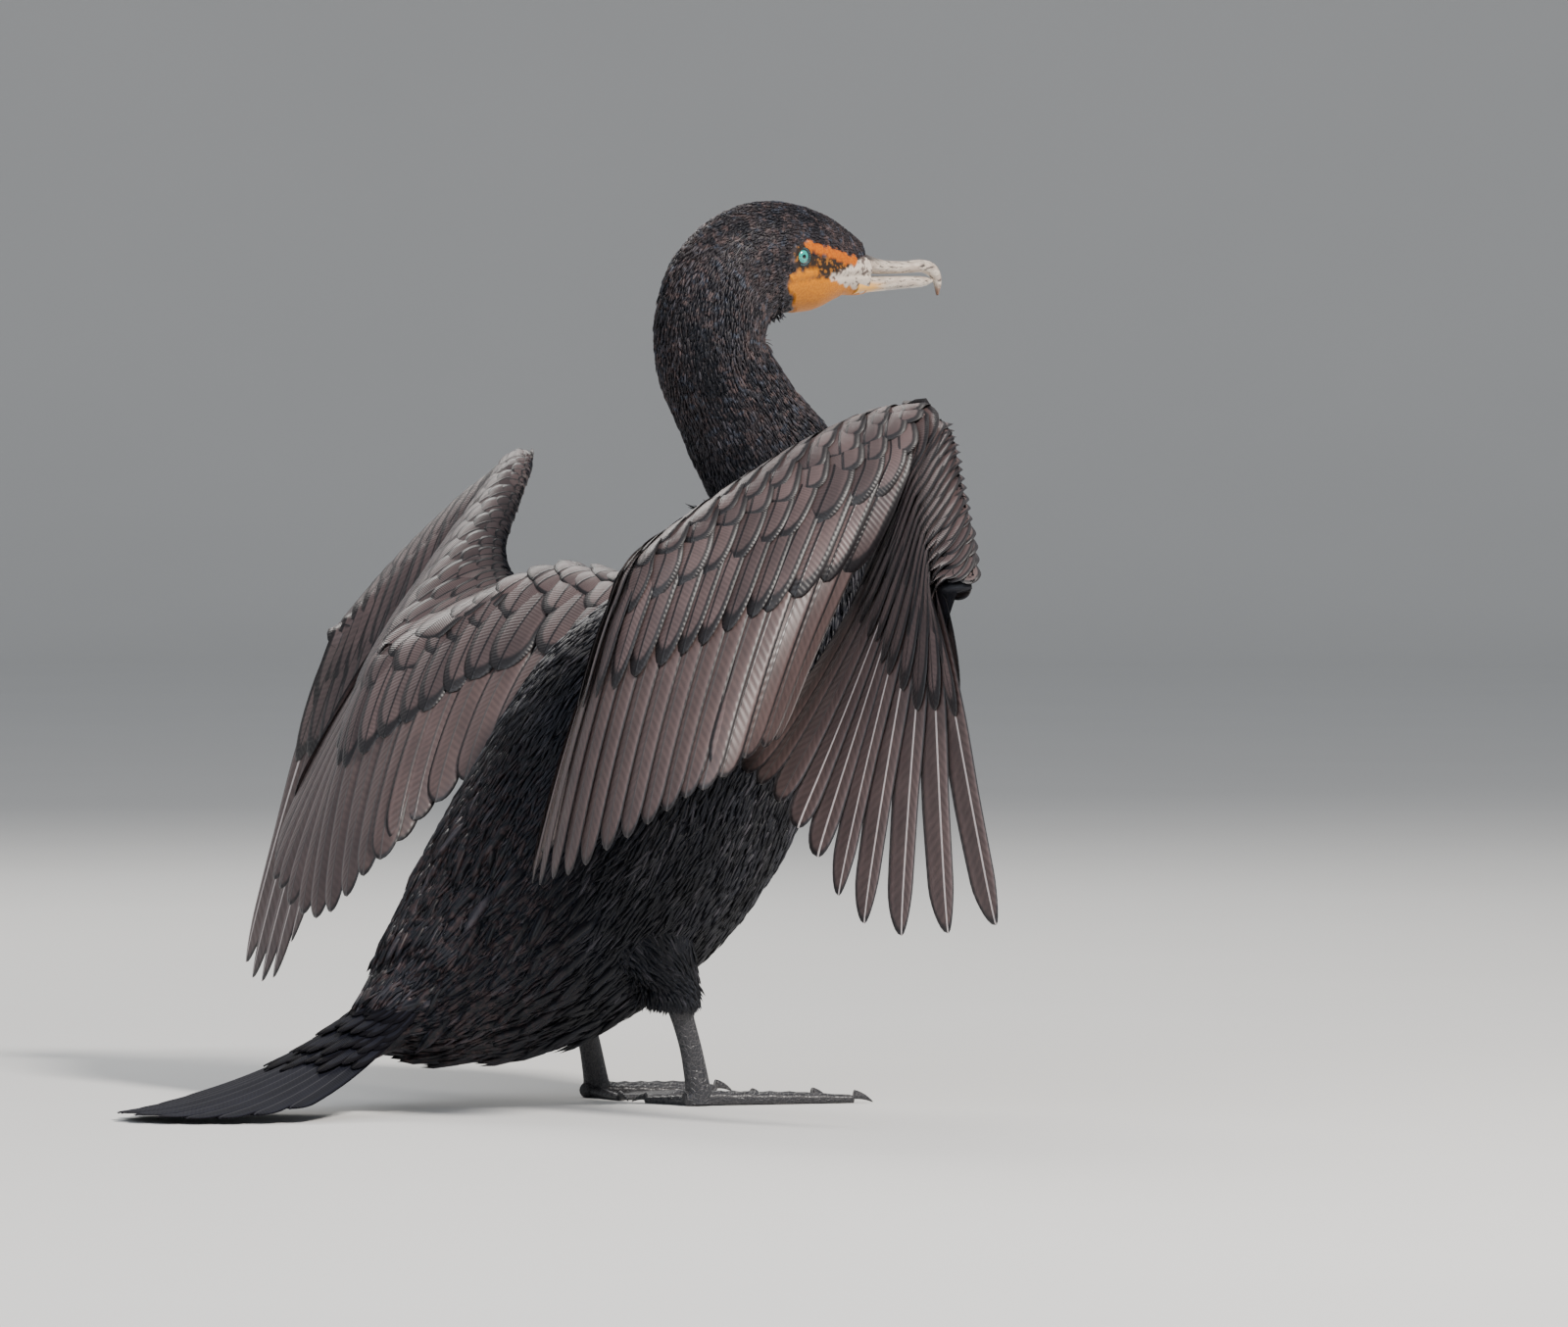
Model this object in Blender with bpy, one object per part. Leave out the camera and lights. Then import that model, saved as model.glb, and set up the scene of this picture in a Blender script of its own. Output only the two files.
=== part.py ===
import math
import random

import bmesh
import bpy
from mathutils import Matrix, Vector

# A double-crested cormorant, life size, standing with its wings half spread to dry.
# Metres. The bird faces +X, its left side is +Y and its soles are at Z = 0.

GAP = 0.0003
SIDES = {"r": -1.0, "l": 1.0}
seed = random.Random(7)

# Trunk and neck: distance forward, height, half depth and half width of each ring
TRUNK = [
    (-0.152, 0.050, 0.020, 0.024),
    (-0.117, 0.064, 0.044, 0.046),
    (-0.067, 0.094, 0.070, 0.064),
    (-0.016, 0.137, 0.085, 0.070),
    (0.025, 0.185, 0.086, 0.070),
    (0.063, 0.231, 0.072, 0.062),
    (0.094, 0.277, 0.056, 0.050),
    (0.100, 0.322, 0.043, 0.038),
    (0.073, 0.363, 0.034, 0.031),
    (0.054, 0.399, 0.031, 0.028),
    (0.061, 0.431, 0.032, 0.026),
    (0.085, 0.447, 0.0315, 0.0245),
    (0.117, 0.4475, 0.0275, 0.0205),
    (0.137, 0.4455, 0.0195, 0.0145),
    (0.152, 0.4405, 0.0115, 0.0100),
]
RING_SIDES = 20
TORSO_CUT = 6.55
NECK_CUTS = (8.05, 9.45)
HEAD_CUT = 10.35
HEAD_END = 14.0

# Head details
GAPE_REAR = (0.101, 0.4345)
GAPE_FRONT = (0.160, 0.4392)
POUCH_REAR_LOW = (0.116, 0.412)
EYE_CENTRE = (0.0985, 0.0178, 0.4490)
EYE_RADIUS = 0.0056
LID_RADIUS = 0.0056
LID_THICKNESS = 0.0015

# Bill: forward, height, half depth and half width of each ring
UPPER_BILL = [
    (0.1523, 0.4450, 0.0057, 0.0088),
    (0.1640, 0.4434, 0.0041, 0.0064),
    (0.1790, 0.4432, 0.0034, 0.0048),
    (0.1920, 0.4439, 0.0037, 0.0042),
    (0.1990, 0.4415, 0.0038, 0.0036),
    (0.2022, 0.4360, 0.0028, 0.0026),
    (0.2025, 0.4285, 0.0009, 0.0010),
]
LOWER_BILL = [
    (0.1523, 0.4345, 0.0044, 0.0080),
    (0.1640, 0.4353, 0.0035, 0.0058),
    (0.1790, 0.4362, 0.0026, 0.0043),
    (0.1920, 0.4366, 0.0021, 0.0032),
    (0.1985, 0.4366, 0.0012, 0.0020),
]

# Leg: forward, out from the middle, height, half length and half width of each ring
LEG = [
    (-0.030, 0.040, 0.108, 0.034, 0.018),
    (-0.020, 0.046, 0.086, 0.026, 0.017),
    (-0.008, 0.048, 0.070, 0.014, 0.012),
    (-0.003, 0.048, 0.060, 0.0095, 0.0080),
    (0.002, 0.048, 0.048, 0.0075, 0.0058),
    (0.008, 0.048, 0.030, 0.0070, 0.0055),
    (0.012, 0.048, 0.0135, 0.0075, 0.0065),
]
ANKLE = (0.010, 0.048)
ANKLE_HEIGHT = 0.0130
# Toe: length, angle out from straight ahead in degrees, thickness at the root
TOES = {
    "inner": (0.056, -22.0, 0.0075),
    "middle": (0.078, -2.0, 0.0080),
    "outer": (0.088, 18.0, 0.0080),
    "hind": (0.036, -100.0, 0.0060),
}
WEB_THICKNESS = 0.0024
CLAW_LENGTH = 0.011

# Wing stations: share of the way along the wing, then points (forward, out, height) on the
# leading edge, on the ridge of the arm, where the flight feathers root, and at their tips
WING = {
    "r": [
        (0.00, (0.046, 0.026, 0.272), (0.034, 0.028, 0.278), (0.022, 0.030, 0.272), (-0.040, 0.030, 0.196)),
        (0.10, (0.030, 0.080, 0.300), (0.000, 0.080, 0.300), (-0.026, 0.084, 0.284), (-0.084, 0.066, 0.158)),
        (0.20, (0.018, 0.094, 0.308), (-0.030, 0.090, 0.306), (-0.066, 0.100, 0.280), (-0.112, 0.076, 0.124)),
        (0.30, (0.012, 0.106, 0.314), (-0.046, 0.104, 0.308), (-0.072, 0.120, 0.284), (-0.122, 0.122, 0.127)),
        (0.42, (0.022, 0.124, 0.334), (-0.012, 0.126, 0.337), (-0.035, 0.141, 0.303), (-0.112, 0.178, 0.152)),
        (0.54, (0.042, 0.145, 0.354), (0.024, 0.147, 0.360), (0.004, 0.166, 0.323), (-0.086, 0.206, 0.178)),
        (0.64, (0.062, 0.166, 0.366), (0.052, 0.166, 0.368), (0.040, 0.188, 0.342), (-0.040, 0.194, 0.198)),
        (0.68, (0.068, 0.192, 0.358), (0.062, 0.194, 0.360), (0.047, 0.196, 0.337), (-0.036, 0.162, 0.182)),
        (0.78, (0.052, 0.224, 0.338), (0.048, 0.226, 0.338), (0.034, 0.220, 0.318), (-0.037, 0.206, 0.157)),
        (0.90, (0.034, 0.258, 0.310), (0.030, 0.260, 0.310), (0.019, 0.250, 0.297), (-0.038, 0.278, 0.104)),
        (1.00, (0.016, 0.290, 0.277), (0.013, 0.291, 0.277), (0.004, 0.276, 0.276), (-0.013, 0.362, 0.107)),
    ],
    "l": [
        (0.00, (0.046, 0.026, 0.268), (0.034, 0.028, 0.276), (0.022, 0.030, 0.268), (-0.040, 0.030, 0.196)),
        (0.10, (0.028, 0.080, 0.278), (0.014, 0.088, 0.280), (-0.004, 0.096, 0.266), (-0.082, 0.066, 0.156)),
        (0.20, (0.020, 0.098, 0.272), (0.000, 0.108, 0.274), (-0.032, 0.124, 0.247), (-0.111, 0.078, 0.124)),
        (0.30, (0.014, 0.120, 0.272), (-0.012, 0.138, 0.264), (-0.053, 0.155, 0.231), (-0.112, 0.128, 0.096)),
        (0.42, (0.020, 0.146, 0.290), (0.004, 0.154, 0.294), (-0.016, 0.172, 0.264), (-0.096, 0.196, 0.112)),
        (0.54, (0.046, 0.170, 0.318), (0.034, 0.172, 0.322), (0.019, 0.188, 0.296), (-0.070, 0.220, 0.146)),
        (0.64, (0.064, 0.186, 0.336), (0.056, 0.188, 0.338), (0.044, 0.200, 0.317), (-0.036, 0.206, 0.172)),
        (0.68, (0.067, 0.208, 0.334), (0.061, 0.210, 0.335), (0.048, 0.206, 0.312), (-0.038, 0.180, 0.152)),
        (0.78, (0.054, 0.240, 0.312), (0.050, 0.242, 0.312), (0.036, 0.232, 0.293), (-0.041, 0.222, 0.124)),
        (0.90, (0.036, 0.276, 0.277), (0.032, 0.278, 0.277), (0.021, 0.266, 0.264), (-0.030, 0.304, 0.052)),
        (1.00, (0.018, 0.304, 0.240), (0.014, 0.305, 0.240), (0.006, 0.290, 0.240), (-0.006, 0.368, 0.060)),
    ],
}
WRIST = 0.66
WRIST_BLOCK = (0.09, 0.05, 0.06)
ARM_SPAN = (0.0, 0.68)
HAND_SPAN = (0.64, 1.0)
SECONDARY_SPAN = (0.02, 0.625)
PRIMARY_SPAN = (0.708, 0.983)
ARM_BOW = 0.014
HAND_BOW = 0.006
HAND_DIP = -0.030
HAND_RISE = 0.18
ARM_THICKNESS = 0.011
HAND_THICKNESS = 0.009
CORE_PROFILE = ((-1.0, 0.35), (-0.6, 1.0), (-0.25, 1.0), (0.0, 0.8), (0.12, 0.25))
SHEET_THICKNESS = 0.0022

# Tail: where it leaves the rump, its length, and how wide the fan opens
TAIL_ROOT = (-0.150, 0.050)
TAIL_LENGTH = 0.172
TAIL_SLOPE = 31.0
TAIL_FAN = 24.0
TAIL_FLOOR = 0.0004
TAIL_THICKNESS = 0.0024

COLOURS = {
    "plumage": ((0.018, 0.018, 0.022), 0.55),
    "wing": ((0.075, 0.060, 0.055), 0.45),
    "tail": ((0.014, 0.016, 0.022), 0.50),
    "bill": ((0.42, 0.38, 0.33), 0.35),
    "pouch": ((0.75, 0.32, 0.02), 0.50),
    "eye": ((0.02, 0.30, 0.30), 0.08),
    "foot": ((0.016, 0.017, 0.020), 0.50),
}


def clearScene():
    for item in list(bpy.data.objects):
        bpy.data.objects.remove(item)


def material(name):
    found = bpy.data.materials.get(name)
    if found:
        return found
    made = bpy.data.materials.new(name)
    made.use_nodes = True
    shader = made.node_tree.nodes["Principled BSDF"]
    colour, roughness = COLOURS[name]
    shader.inputs["Base Color"].default_value = (*colour, 1.0)
    shader.inputs["Roughness"].default_value = roughness
    return made


def spline(rows, place):
    """One row of numbers read from a smooth curve through the rows, at a fractional index."""
    last = len(rows) - 1
    index = min(max(int(math.floor(place)), 0), last - 1)
    share = place - index
    before, start, end, after = (rows[min(max(index + step, 0), last)] for step in (-1, 0, 1, 2))
    if index == 0:
        before = [2 * a - b for a, b in zip(start, end)]
    if index == last - 1:
        after = [2 * b - a for a, b in zip(start, end)]
    row = []
    for a, b, c, d in zip(before, start, end, after):
        pull = (c - a) * share + (2 * a - 5 * b + 4 * c - d) * share ** 2 + (3 * b - a - 3 * c + d) * share ** 3
        row.append(b + 0.5 * pull)
    return row


def placeOf(keys, value):
    """The fractional index at which a rising list of keys passes a value."""
    for index in range(len(keys) - 1):
        if value <= keys[index + 1]:
            return index + (value - keys[index]) / (keys[index + 1] - keys[index])
    return len(keys) - 1.0


def meshObject(name, points, faces):
    mesh = bpy.data.meshes.new(name)
    mesh.from_pydata([tuple(point) for point in points], [], faces)
    shape = bmesh.new()
    shape.from_mesh(mesh)
    bmesh.ops.recalc_face_normals(shape, faces=shape.faces)
    shape.to_mesh(mesh)
    shape.free()
    item = bpy.data.objects.new(name, mesh)
    bpy.context.collection.objects.link(item)
    return item


def loft(name, rings):
    """A closed tube through rings of equal counts, split into triangles, with fans on its ends."""
    count = len(rings[0])
    points = [point for ring in rings for point in ring]
    faces = []
    for level in range(len(rings) - 1):
        for step in range(count):
            a = level * count + step
            b = level * count + (step + 1) % count
            faces += [(a, b, b + count), (a, b + count, a + count)]
    for level, flip in ((0, True), (len(rings) - 1, False)):
        centre = len(points)
        points.append(sum(rings[level], Vector()) / count)
        for step in range(count):
            a = level * count + step
            b = level * count + (step + 1) % count
            faces.append((b, a, centre) if flip else (a, b, centre))
    return meshObject(name, points, faces)


def finish(item, name, materialName):
    item.name = name
    item.data.name = name
    item.data.materials.clear()
    item.data.materials.append(material(materialName))
    item.data.shade_smooth()
    item.data.set_sharp_from_angle(angle=math.radians(35))
    return item


def applyModifiers(item):
    graph = bpy.context.evaluated_depsgraph_get()
    mesh = bpy.data.meshes.new_from_object(item.evaluated_get(graph))
    item.modifiers.clear()
    item.data = mesh


def keepLargest(item):
    """Leaves only the closed surface with the largest area."""
    shape = bmesh.new()
    shape.from_mesh(item.data)
    left = set(shape.verts)
    shells = []
    while left:
        stack = [left.pop()]
        shell = set(stack)
        while stack:
            for edge in stack.pop().link_edges:
                for vert in edge.verts:
                    if vert in left:
                        left.remove(vert)
                        shell.add(vert)
                        stack.append(vert)
        faces = {face for vert in shell for face in vert.link_faces}
        size = sum(face.calc_area() for face in faces)
        shells.append((size, shell))
    shells.sort(key=lambda pair: pair[0])
    extra = [vert for _, shell in shells[:-1] for vert in shell]
    bmesh.ops.delete(shape, geom=extra, context="VERTS")
    bmesh.ops.triangulate(shape, faces=shape.faces)
    shape.to_mesh(item.data)
    shape.free()


def combine(item, others, operation, solver="EXACT"):
    """Joins or cuts one object by others, and removes them."""
    group = bpy.data.collections.new("operands")
    bpy.context.scene.collection.children.link(group)
    for other in others:
        group.objects.link(other)
    boolean = item.modifiers.new("boolean", "BOOLEAN")
    boolean.operand_type = "COLLECTION"
    boolean.collection = group
    boolean.operation = operation
    boolean.solver = solver
    applyModifiers(item)
    for other in others:
        bpy.data.objects.remove(other)
    bpy.data.collections.remove(group)
    keepLargest(item)
    return item


# Trunk, neck and head

def trunkRing(place, inflate=0.0, shift=0.0):
    x, z, deep, wide = spline(TRUNK, place)
    ahead = spline(TRUNK, min(place + 0.02, len(TRUNK) - 1))
    behind = spline(TRUNK, max(place - 0.02, 0))
    along = Vector((ahead[0] - behind[0], 0.0, ahead[1] - behind[1])).normalized()
    if place == HEAD_END:
        along = Vector((1.0, 0.0, 0.0))
    across = Vector((-along.z, 0.0, along.x))
    centre = Vector((x, 0.0, z)) + along * shift
    ring = []
    for step in range(RING_SIDES):
        angle = 2 * math.pi * step / RING_SIDES
        side = Vector((0.0, 1.0, 0.0)) * math.cos(angle) * (wide + inflate)
        ring.append(centre + side + across * math.sin(angle) * (deep + inflate))
    return ring


def trunkPiece(name, start, end, steps, inflate=0.0):
    rings = []
    for step in range(steps + 1):
        place = start + (end - start) * step / steps
        shift = {0: 0.5 * GAP - inflate, steps: inflate - 0.5 * GAP}.get(step, 0.0)
        rings.append(trunkRing(place, inflate, shift))
    return loft(name, rings)


def eyeBall(name, side, radius):
    shape = bmesh.new()
    bmesh.ops.create_uvsphere(shape, u_segments=16, v_segments=10, radius=radius)
    x, out, z = EYE_CENTRE
    bmesh.ops.translate(shape, verts=shape.verts, vec=(x, side * out, z))
    mesh = bpy.data.meshes.new(name)
    shape.to_mesh(mesh)
    shape.free()
    item = bpy.data.objects.new(name, mesh)
    bpy.context.collection.objects.link(item)
    return item


def lidRing(side):
    x, out, z = EYE_CENTRE
    rings = []
    for step in range(14):
        turn = 2 * math.pi * step / 14
        outward = Vector((math.cos(turn), 0.0, math.sin(turn)))
        centre = Vector((x, side * (out + 0.0028), z)) + outward * LID_RADIUS
        ring = []
        for corner in range(6):
            angle = 2 * math.pi * corner / 6
            offset = outward * math.cos(angle) + Vector((0.0, side, 0.0)) * math.sin(angle)
            ring.append(centre + offset * LID_THICKNESS)
        rings.append(ring)
    points = [point for ring in rings for point in ring]
    faces = []
    for level in range(14):
        for corner in range(6):
            a = level * 6 + corner
            b = level * 6 + (corner + 1) % 6
            c = (level + 1) % 14 * 6 + (corner + 1) % 6
            d = (level + 1) % 14 * 6 + corner
            faces += [(a, b, c), (a, c, d)]
    return meshObject("lid", points, faces)


def mouthWedge(name, grow):
    """A prism that covers the bare pouch: below the gape and ahead of its rear edge."""
    rear, front, low = Vector(GAPE_REAR), Vector(GAPE_FRONT), Vector(POUCH_REAR_LOW)
    outline = [
        (rear.x - grow, rear.y + grow),
        (front.x + 0.02, front.y + grow),
        (front.x + 0.02, low.y - 0.02),
        (low.x - grow + 0.003, low.y - 0.02),
        (low.x - grow, low.y),
    ]
    rings = [[Vector((x, y, z)) for x, z in outline] for y in (-0.04, 0.04)]
    return loft(name, rings)


def billPiece(name, rows, flatSide):
    rings = []
    steps = 2 * (len(rows) - 1)
    for step in range(steps + 1):
        place = step / 2
        x, z, deep, wide = spline(rows, place)
        ahead = spline(rows, min(place + 0.05, len(rows) - 1))
        behind = spline(rows, max(place - 0.05, 0))
        along = Vector((ahead[0] - behind[0], 0.0, ahead[1] - behind[1])).normalized()
        if step == 0:
            along = Vector((1.0, 0.0, 0.0))
        across = Vector((-along.z, 0.0, along.x))
        ring = []
        for corner in range(12):
            angle = 2 * math.pi * corner / 12
            height = math.sin(angle)
            if height * flatSide > 0:
                height *= 0.86
            ring.append(Vector((x, math.cos(angle) * wide, z)) + across * height * deep)
        rings.append(ring)
    return loft(name, rings)


def makeHead():
    head = trunkPiece("head", HEAD_CUT, HEAD_END, 10)
    pouch = trunkPiece("gular_pouch", HEAD_CUT, HEAD_END, 10)
    combine(head, [lidRing(side) for side in SIDES.values()], "UNION")
    sockets = [eyeBall("socket", side, EYE_RADIUS + GAP) for side in SIDES.values()]
    combine(head, [mouthWedge("mouth", 0.5 * GAP)] + sockets, "DIFFERENCE")
    combine(pouch, [mouthWedge("mouth", -0.5 * GAP)], "INTERSECT")
    finish(head, "head", "plumage")
    finish(pouch, "gular_pouch", "pouch")
    for key, side in SIDES.items():
        finish(eyeBall("eye_" + key, side, EYE_RADIUS), "eye_" + key, "eye")
    finish(billPiece("bill_upper", UPPER_BILL, -1), "bill_upper", "bill")
    finish(billPiece("bill_lower", LOWER_BILL, 1), "bill_lower", "bill")


def makeTrunk():
    finish(trunkPiece("torso", 0.0, TORSO_CUT, 14), "torso", "plumage")
    cuts = (TORSO_CUT, *NECK_CUTS, HEAD_CUT)
    for name, start, end in zip(("neck_lower", "neck_middle", "neck_upper"), cuts, cuts[1:]):
        finish(trunkPiece(name, start, end, 5), name, "plumage")


def torsoCutter():
    return trunkPiece("torso_cutter", 0.0, TORSO_CUT, 14, GAP)


# Legs and feet

def legRing(row, side):
    x, out, z, long, wide = row
    ring = []
    for step in range(12):
        angle = 2 * math.pi * step / 12
        ring.append(Vector((x + long * math.cos(angle), side * (out + wide * math.sin(angle)), z)))
    return ring


def makeLeg(key, side):
    steps = 2 * (len(LEG) - 1)
    leg = loft("leg", [legRing(spline(LEG, step / 2), side) for step in range(steps + 1)])
    combine(leg, [torsoCutter()], "DIFFERENCE")
    finish(leg, "leg_" + key, "plumage")


def toe(side, length, turn, thick):
    """One toe, flat below, with its claw, from the ankle to its tip."""
    angle = math.radians(turn)
    ahead = Vector((math.cos(angle), side * math.sin(angle), 0.0))
    wide = Vector((-ahead.y, ahead.x, 0.0))
    root = Vector((ANKLE[0], side * ANKLE[1], 0.0))
    rings = []
    joints = 6
    for step in range(joints + 1):
        share = step / joints
        size = thick * (1.0 - 0.45 * share) * (1.0 + 0.10 * math.cos(share * 3 * math.pi) ** 2)
        rings.append([
            root + ahead * length * share + wide * size * across + Vector((0, 0, size * up))
            for across, up in ((-0.55, 0.0), (-0.60, 0.45), (-0.28, 1.0), (0.28, 1.0), (0.60, 0.45), (0.55, 0.0))
        ])
    tip = root + ahead * (length + CLAW_LENGTH)
    rings.append([tip + (point - rings[-1][0]) * 0.12 for point in rings[-1]])
    return loft("toe", rings)


def web(side):
    """The web that joins all four toes: a thin plate between them, scalloped between the tips."""
    order = ["outer", "middle", "inner", "hind"]
    root = Vector((ANKLE[0], side * ANKLE[1], 0.0))
    rim = []
    for first, second in zip(order, order[1:]):
        for step in range(4):
            share = step / 4
            length = TOES[first][0] * (1 - share) + TOES[second][0] * share
            length *= 0.97 - 0.16 * math.sin(math.pi * share)
            angle = math.radians(TOES[first][1] * (1 - share) + TOES[second][1] * share)
            rim.append(root + Vector((math.cos(angle), side * math.sin(angle), 0.0)) * length)
    angle = math.radians(TOES["hind"][1])
    rim.append(root + Vector((math.cos(angle), side * math.sin(angle), 0.0)) * TOES["hind"][0])
    heel = root - Vector((0.004, 0.0, 0.0))
    outline = [heel] + rim
    low = [Vector((point.x, point.y, 0.0)) for point in outline]
    high = [Vector((point.x, point.y, WEB_THICKNESS)) for point in outline]
    count = len(outline)
    faces = [(0, step, step + 1) for step in range(1, count - 1)]
    faces += [(count, count + step + 1, count + step) for step in range(1, count - 1)]
    for step in range(count):
        after = (step + 1) % count
        faces += [(step, after, after + count), (step, after + count, step + count)]
    return meshObject("web", low + high, faces)


def makeFoot(key, side):
    x, out = ANKLE
    ankle = loft("ankle", [
        [Vector((x + r * math.cos(a), side * (out + 0.85 * r * math.sin(a)), z))
         for a in (2 * math.pi * step / 12 for step in range(12))]
        for z, r in ((0.0, 0.0085), (0.006, 0.0090), (ANKLE_HEIGHT, 0.0078))
    ])
    toes = [toe(side, *row) for row in TOES.values()]
    combine(ankle, toes + [web(side)], "UNION")
    finish(ankle, "foot_" + key, "foot")


# Wings

def wingRow(key, share):
    stations = WING[key]
    keys = [row[0] for row in stations]
    flat = [[number for point in row[1:] for number in point] for row in stations]
    numbers = spline(flat, placeOf(keys, share))
    side = SIDES[key]
    points = [Vector((numbers[i], side * numbers[i + 1], numbers[i + 2])) for i in range(0, 12, 3)]
    return points


def wingSurface(key, share, chord):
    """A point of the wing's middle surface: chord -1 at the leading edge, 0 at the roots, 1 at the tips."""
    lead, ridge, root, tip = wingRow(key, share)
    if chord >= 0:
        middle = root.lerp(tip, 0.5) + wingBow(key, share)
        return root.lerp(middle, chord).lerp(middle.lerp(tip, chord), chord)
    back = -chord
    return root.lerp(ridge, back).lerp(ridge.lerp(lead, back), back)


def wingBow(key, share):
    """How far the middle of a flight feather bows out: the inner primaries dip under the secondaries."""
    rise = ARM_BOW
    if share > WRIST:
        rise = min(HAND_DIP + (share - WRIST) * HAND_RISE, HAND_BOW)
    return Vector((-0.69, 0.33 * SIDES[key], 0.64)) * rise


def wingNormal(key, share, chord):
    step = 0.01
    low, high = max(chord - step, -1.0), min(chord + step, 1.0)
    along = wingSurface(key, share, high) - wingSurface(key, share, low)
    before, after = max(share - step, 0.0), min(share + step, 1.0)
    across = wingSurface(key, after, chord) - wingSurface(key, before, chord)
    normal = across.cross(along) * SIDES[key]
    return normal.normalized()


def wingPlate(name, key, span, profile, steps):
    """A closed plate over the wing's surface, from pairs of chord and half thickness."""
    start, end = span
    rings = []
    for step in range(steps + 1):
        share = start + (end - start) * step / steps
        upper, lower = [], []
        for chord, half in profile:
            point = wingSurface(key, share, chord)
            normal = wingNormal(key, share, chord)
            upper.append(point + normal * half)
            lower.append(point - normal * half)
        rings.append(upper + lower[::-1])
    return loft(name, rings)


def coreProfile(thickness):
    return [(chord, 0.5 * thickness * size) for chord, size in CORE_PROFILE]


def wristCutter(key, sign):
    """A block with one face on the plane of the wrist: it trims the arm (1) or the hand (-1)."""
    middle = wingSurface(key, WRIST, -0.3)
    along = (wingSurface(key, WRIST + 0.03, -0.3) - wingSurface(key, WRIST - 0.03, -0.3)).normalized()
    dorsal = wingNormal(key, WRIST, -0.3)
    dorsal = (dorsal - along * dorsal.dot(along)).normalized()
    chordwise = along.cross(dorsal)
    width, depth, reach = WRIST_BLOCK
    rings = []
    for distance in (-0.5 * GAP, reach):
        base = middle + along * sign * distance
        corners = ((-1, -1), (1, -1), (1, 1), (-1, 1))
        rings.append([base + chordwise * width * a + dorsal * depth * b for a, b in corners])
    return loft("wrist_cutter", rings)


def makeWing(key):
    sheet = [(chord, 0.5 * SHEET_THICKNESS) for chord in (-0.1, 0.2, 0.45, 0.7, 0.9, 1.0)]
    arm = wingPlate("arm", key, ARM_SPAN, coreProfile(ARM_THICKNESS), 22)
    combine(arm, [wristCutter(key, 1)], "DIFFERENCE", "MANIFOLD")
    combine(arm, [wingPlate("sheet", key, SECONDARY_SPAN, sheet, 20)], "UNION", "MANIFOLD")
    combine(arm, [torsoCutter()], "DIFFERENCE", "MANIFOLD")
    finish(arm, "wing_" + key + "_inner", "wing")
    hand = wingPlate("hand", key, HAND_SPAN, coreProfile(HAND_THICKNESS), 12)
    combine(hand, [wristCutter(key, -1)], "DIFFERENCE", "MANIFOLD")
    combine(hand, [wingPlate("sheet", key, PRIMARY_SPAN, sheet, 12)], "UNION", "MANIFOLD")
    finish(hand, "wing_" + key + "_hand", "wing")


# Tail

def tailPoint(share, turn):
    """A point of the tail: it leaves the rump at its slope and levels out along the floor."""
    slope = math.radians(TAIL_SLOPE)
    distance = TAIL_LENGTH * share
    flatten = TAIL_ROOT[1] / math.sin(slope) * 1.62
    ease = min(distance / flatten, 1.0)
    height = TAIL_ROOT[1] * (1.0 - ease) ** 1.62 + TAIL_FLOOR + 0.5 * TAIL_THICKNESS
    reach = distance * (0.90 + 0.06 * share)
    angle = math.radians(turn)
    return Vector((TAIL_ROOT[0] - reach * math.cos(angle), reach * math.sin(angle), height))


def makeTail():
    rings = []
    for step in range(11):
        share = 0.02 + 0.98 * step / 10
        upper, lower = [], []
        for column in range(9):
            turn = TAIL_FAN * (column - 4) / 4
            short = 1.0 - 0.30 * (abs(column - 4) / 4) ** 2
            point = tailPoint(share * short, turn)
            point.y += (column - 4) / 4 * 0.016 * (1 - share)
            half = 0.5 * (TAIL_THICKNESS + 0.020 * max(0.0, 1 - share * 3) * (1 - (abs(column - 4) / 4) ** 2))
            upper.append(point + Vector((0, 0, half)))
            lower.append(point - Vector((0, 0, half)))
        rings.append(upper + lower[::-1])
    tail = loft("tail", rings)
    combine(tail, [torsoCutter()], "DIFFERENCE")
    finish(tail, "tail", "tail")


def centreModel():
    """Puts the origin under the middle of the whole bird's box."""
    corners = [vert.co for item in bpy.data.objects for vert in item.data.vertices]
    middle = [0.5 * (min(point[axis] for point in corners) + max(point[axis] for point in corners)) for axis in (0, 1)]
    shift = Matrix.Translation(Vector((-middle[0], -middle[1], 0.0)))
    for mesh in {item.data for item in bpy.data.objects}:
        mesh.transform(shift)


clearScene()
makeTrunk()
makeHead()
for sideKey, sideSign in SIDES.items():
    makeLeg(sideKey, sideSign)
    makeFoot(sideKey, sideSign)
    makeWing(sideKey)
makeTail()
centreModel()
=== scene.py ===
import math

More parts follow.
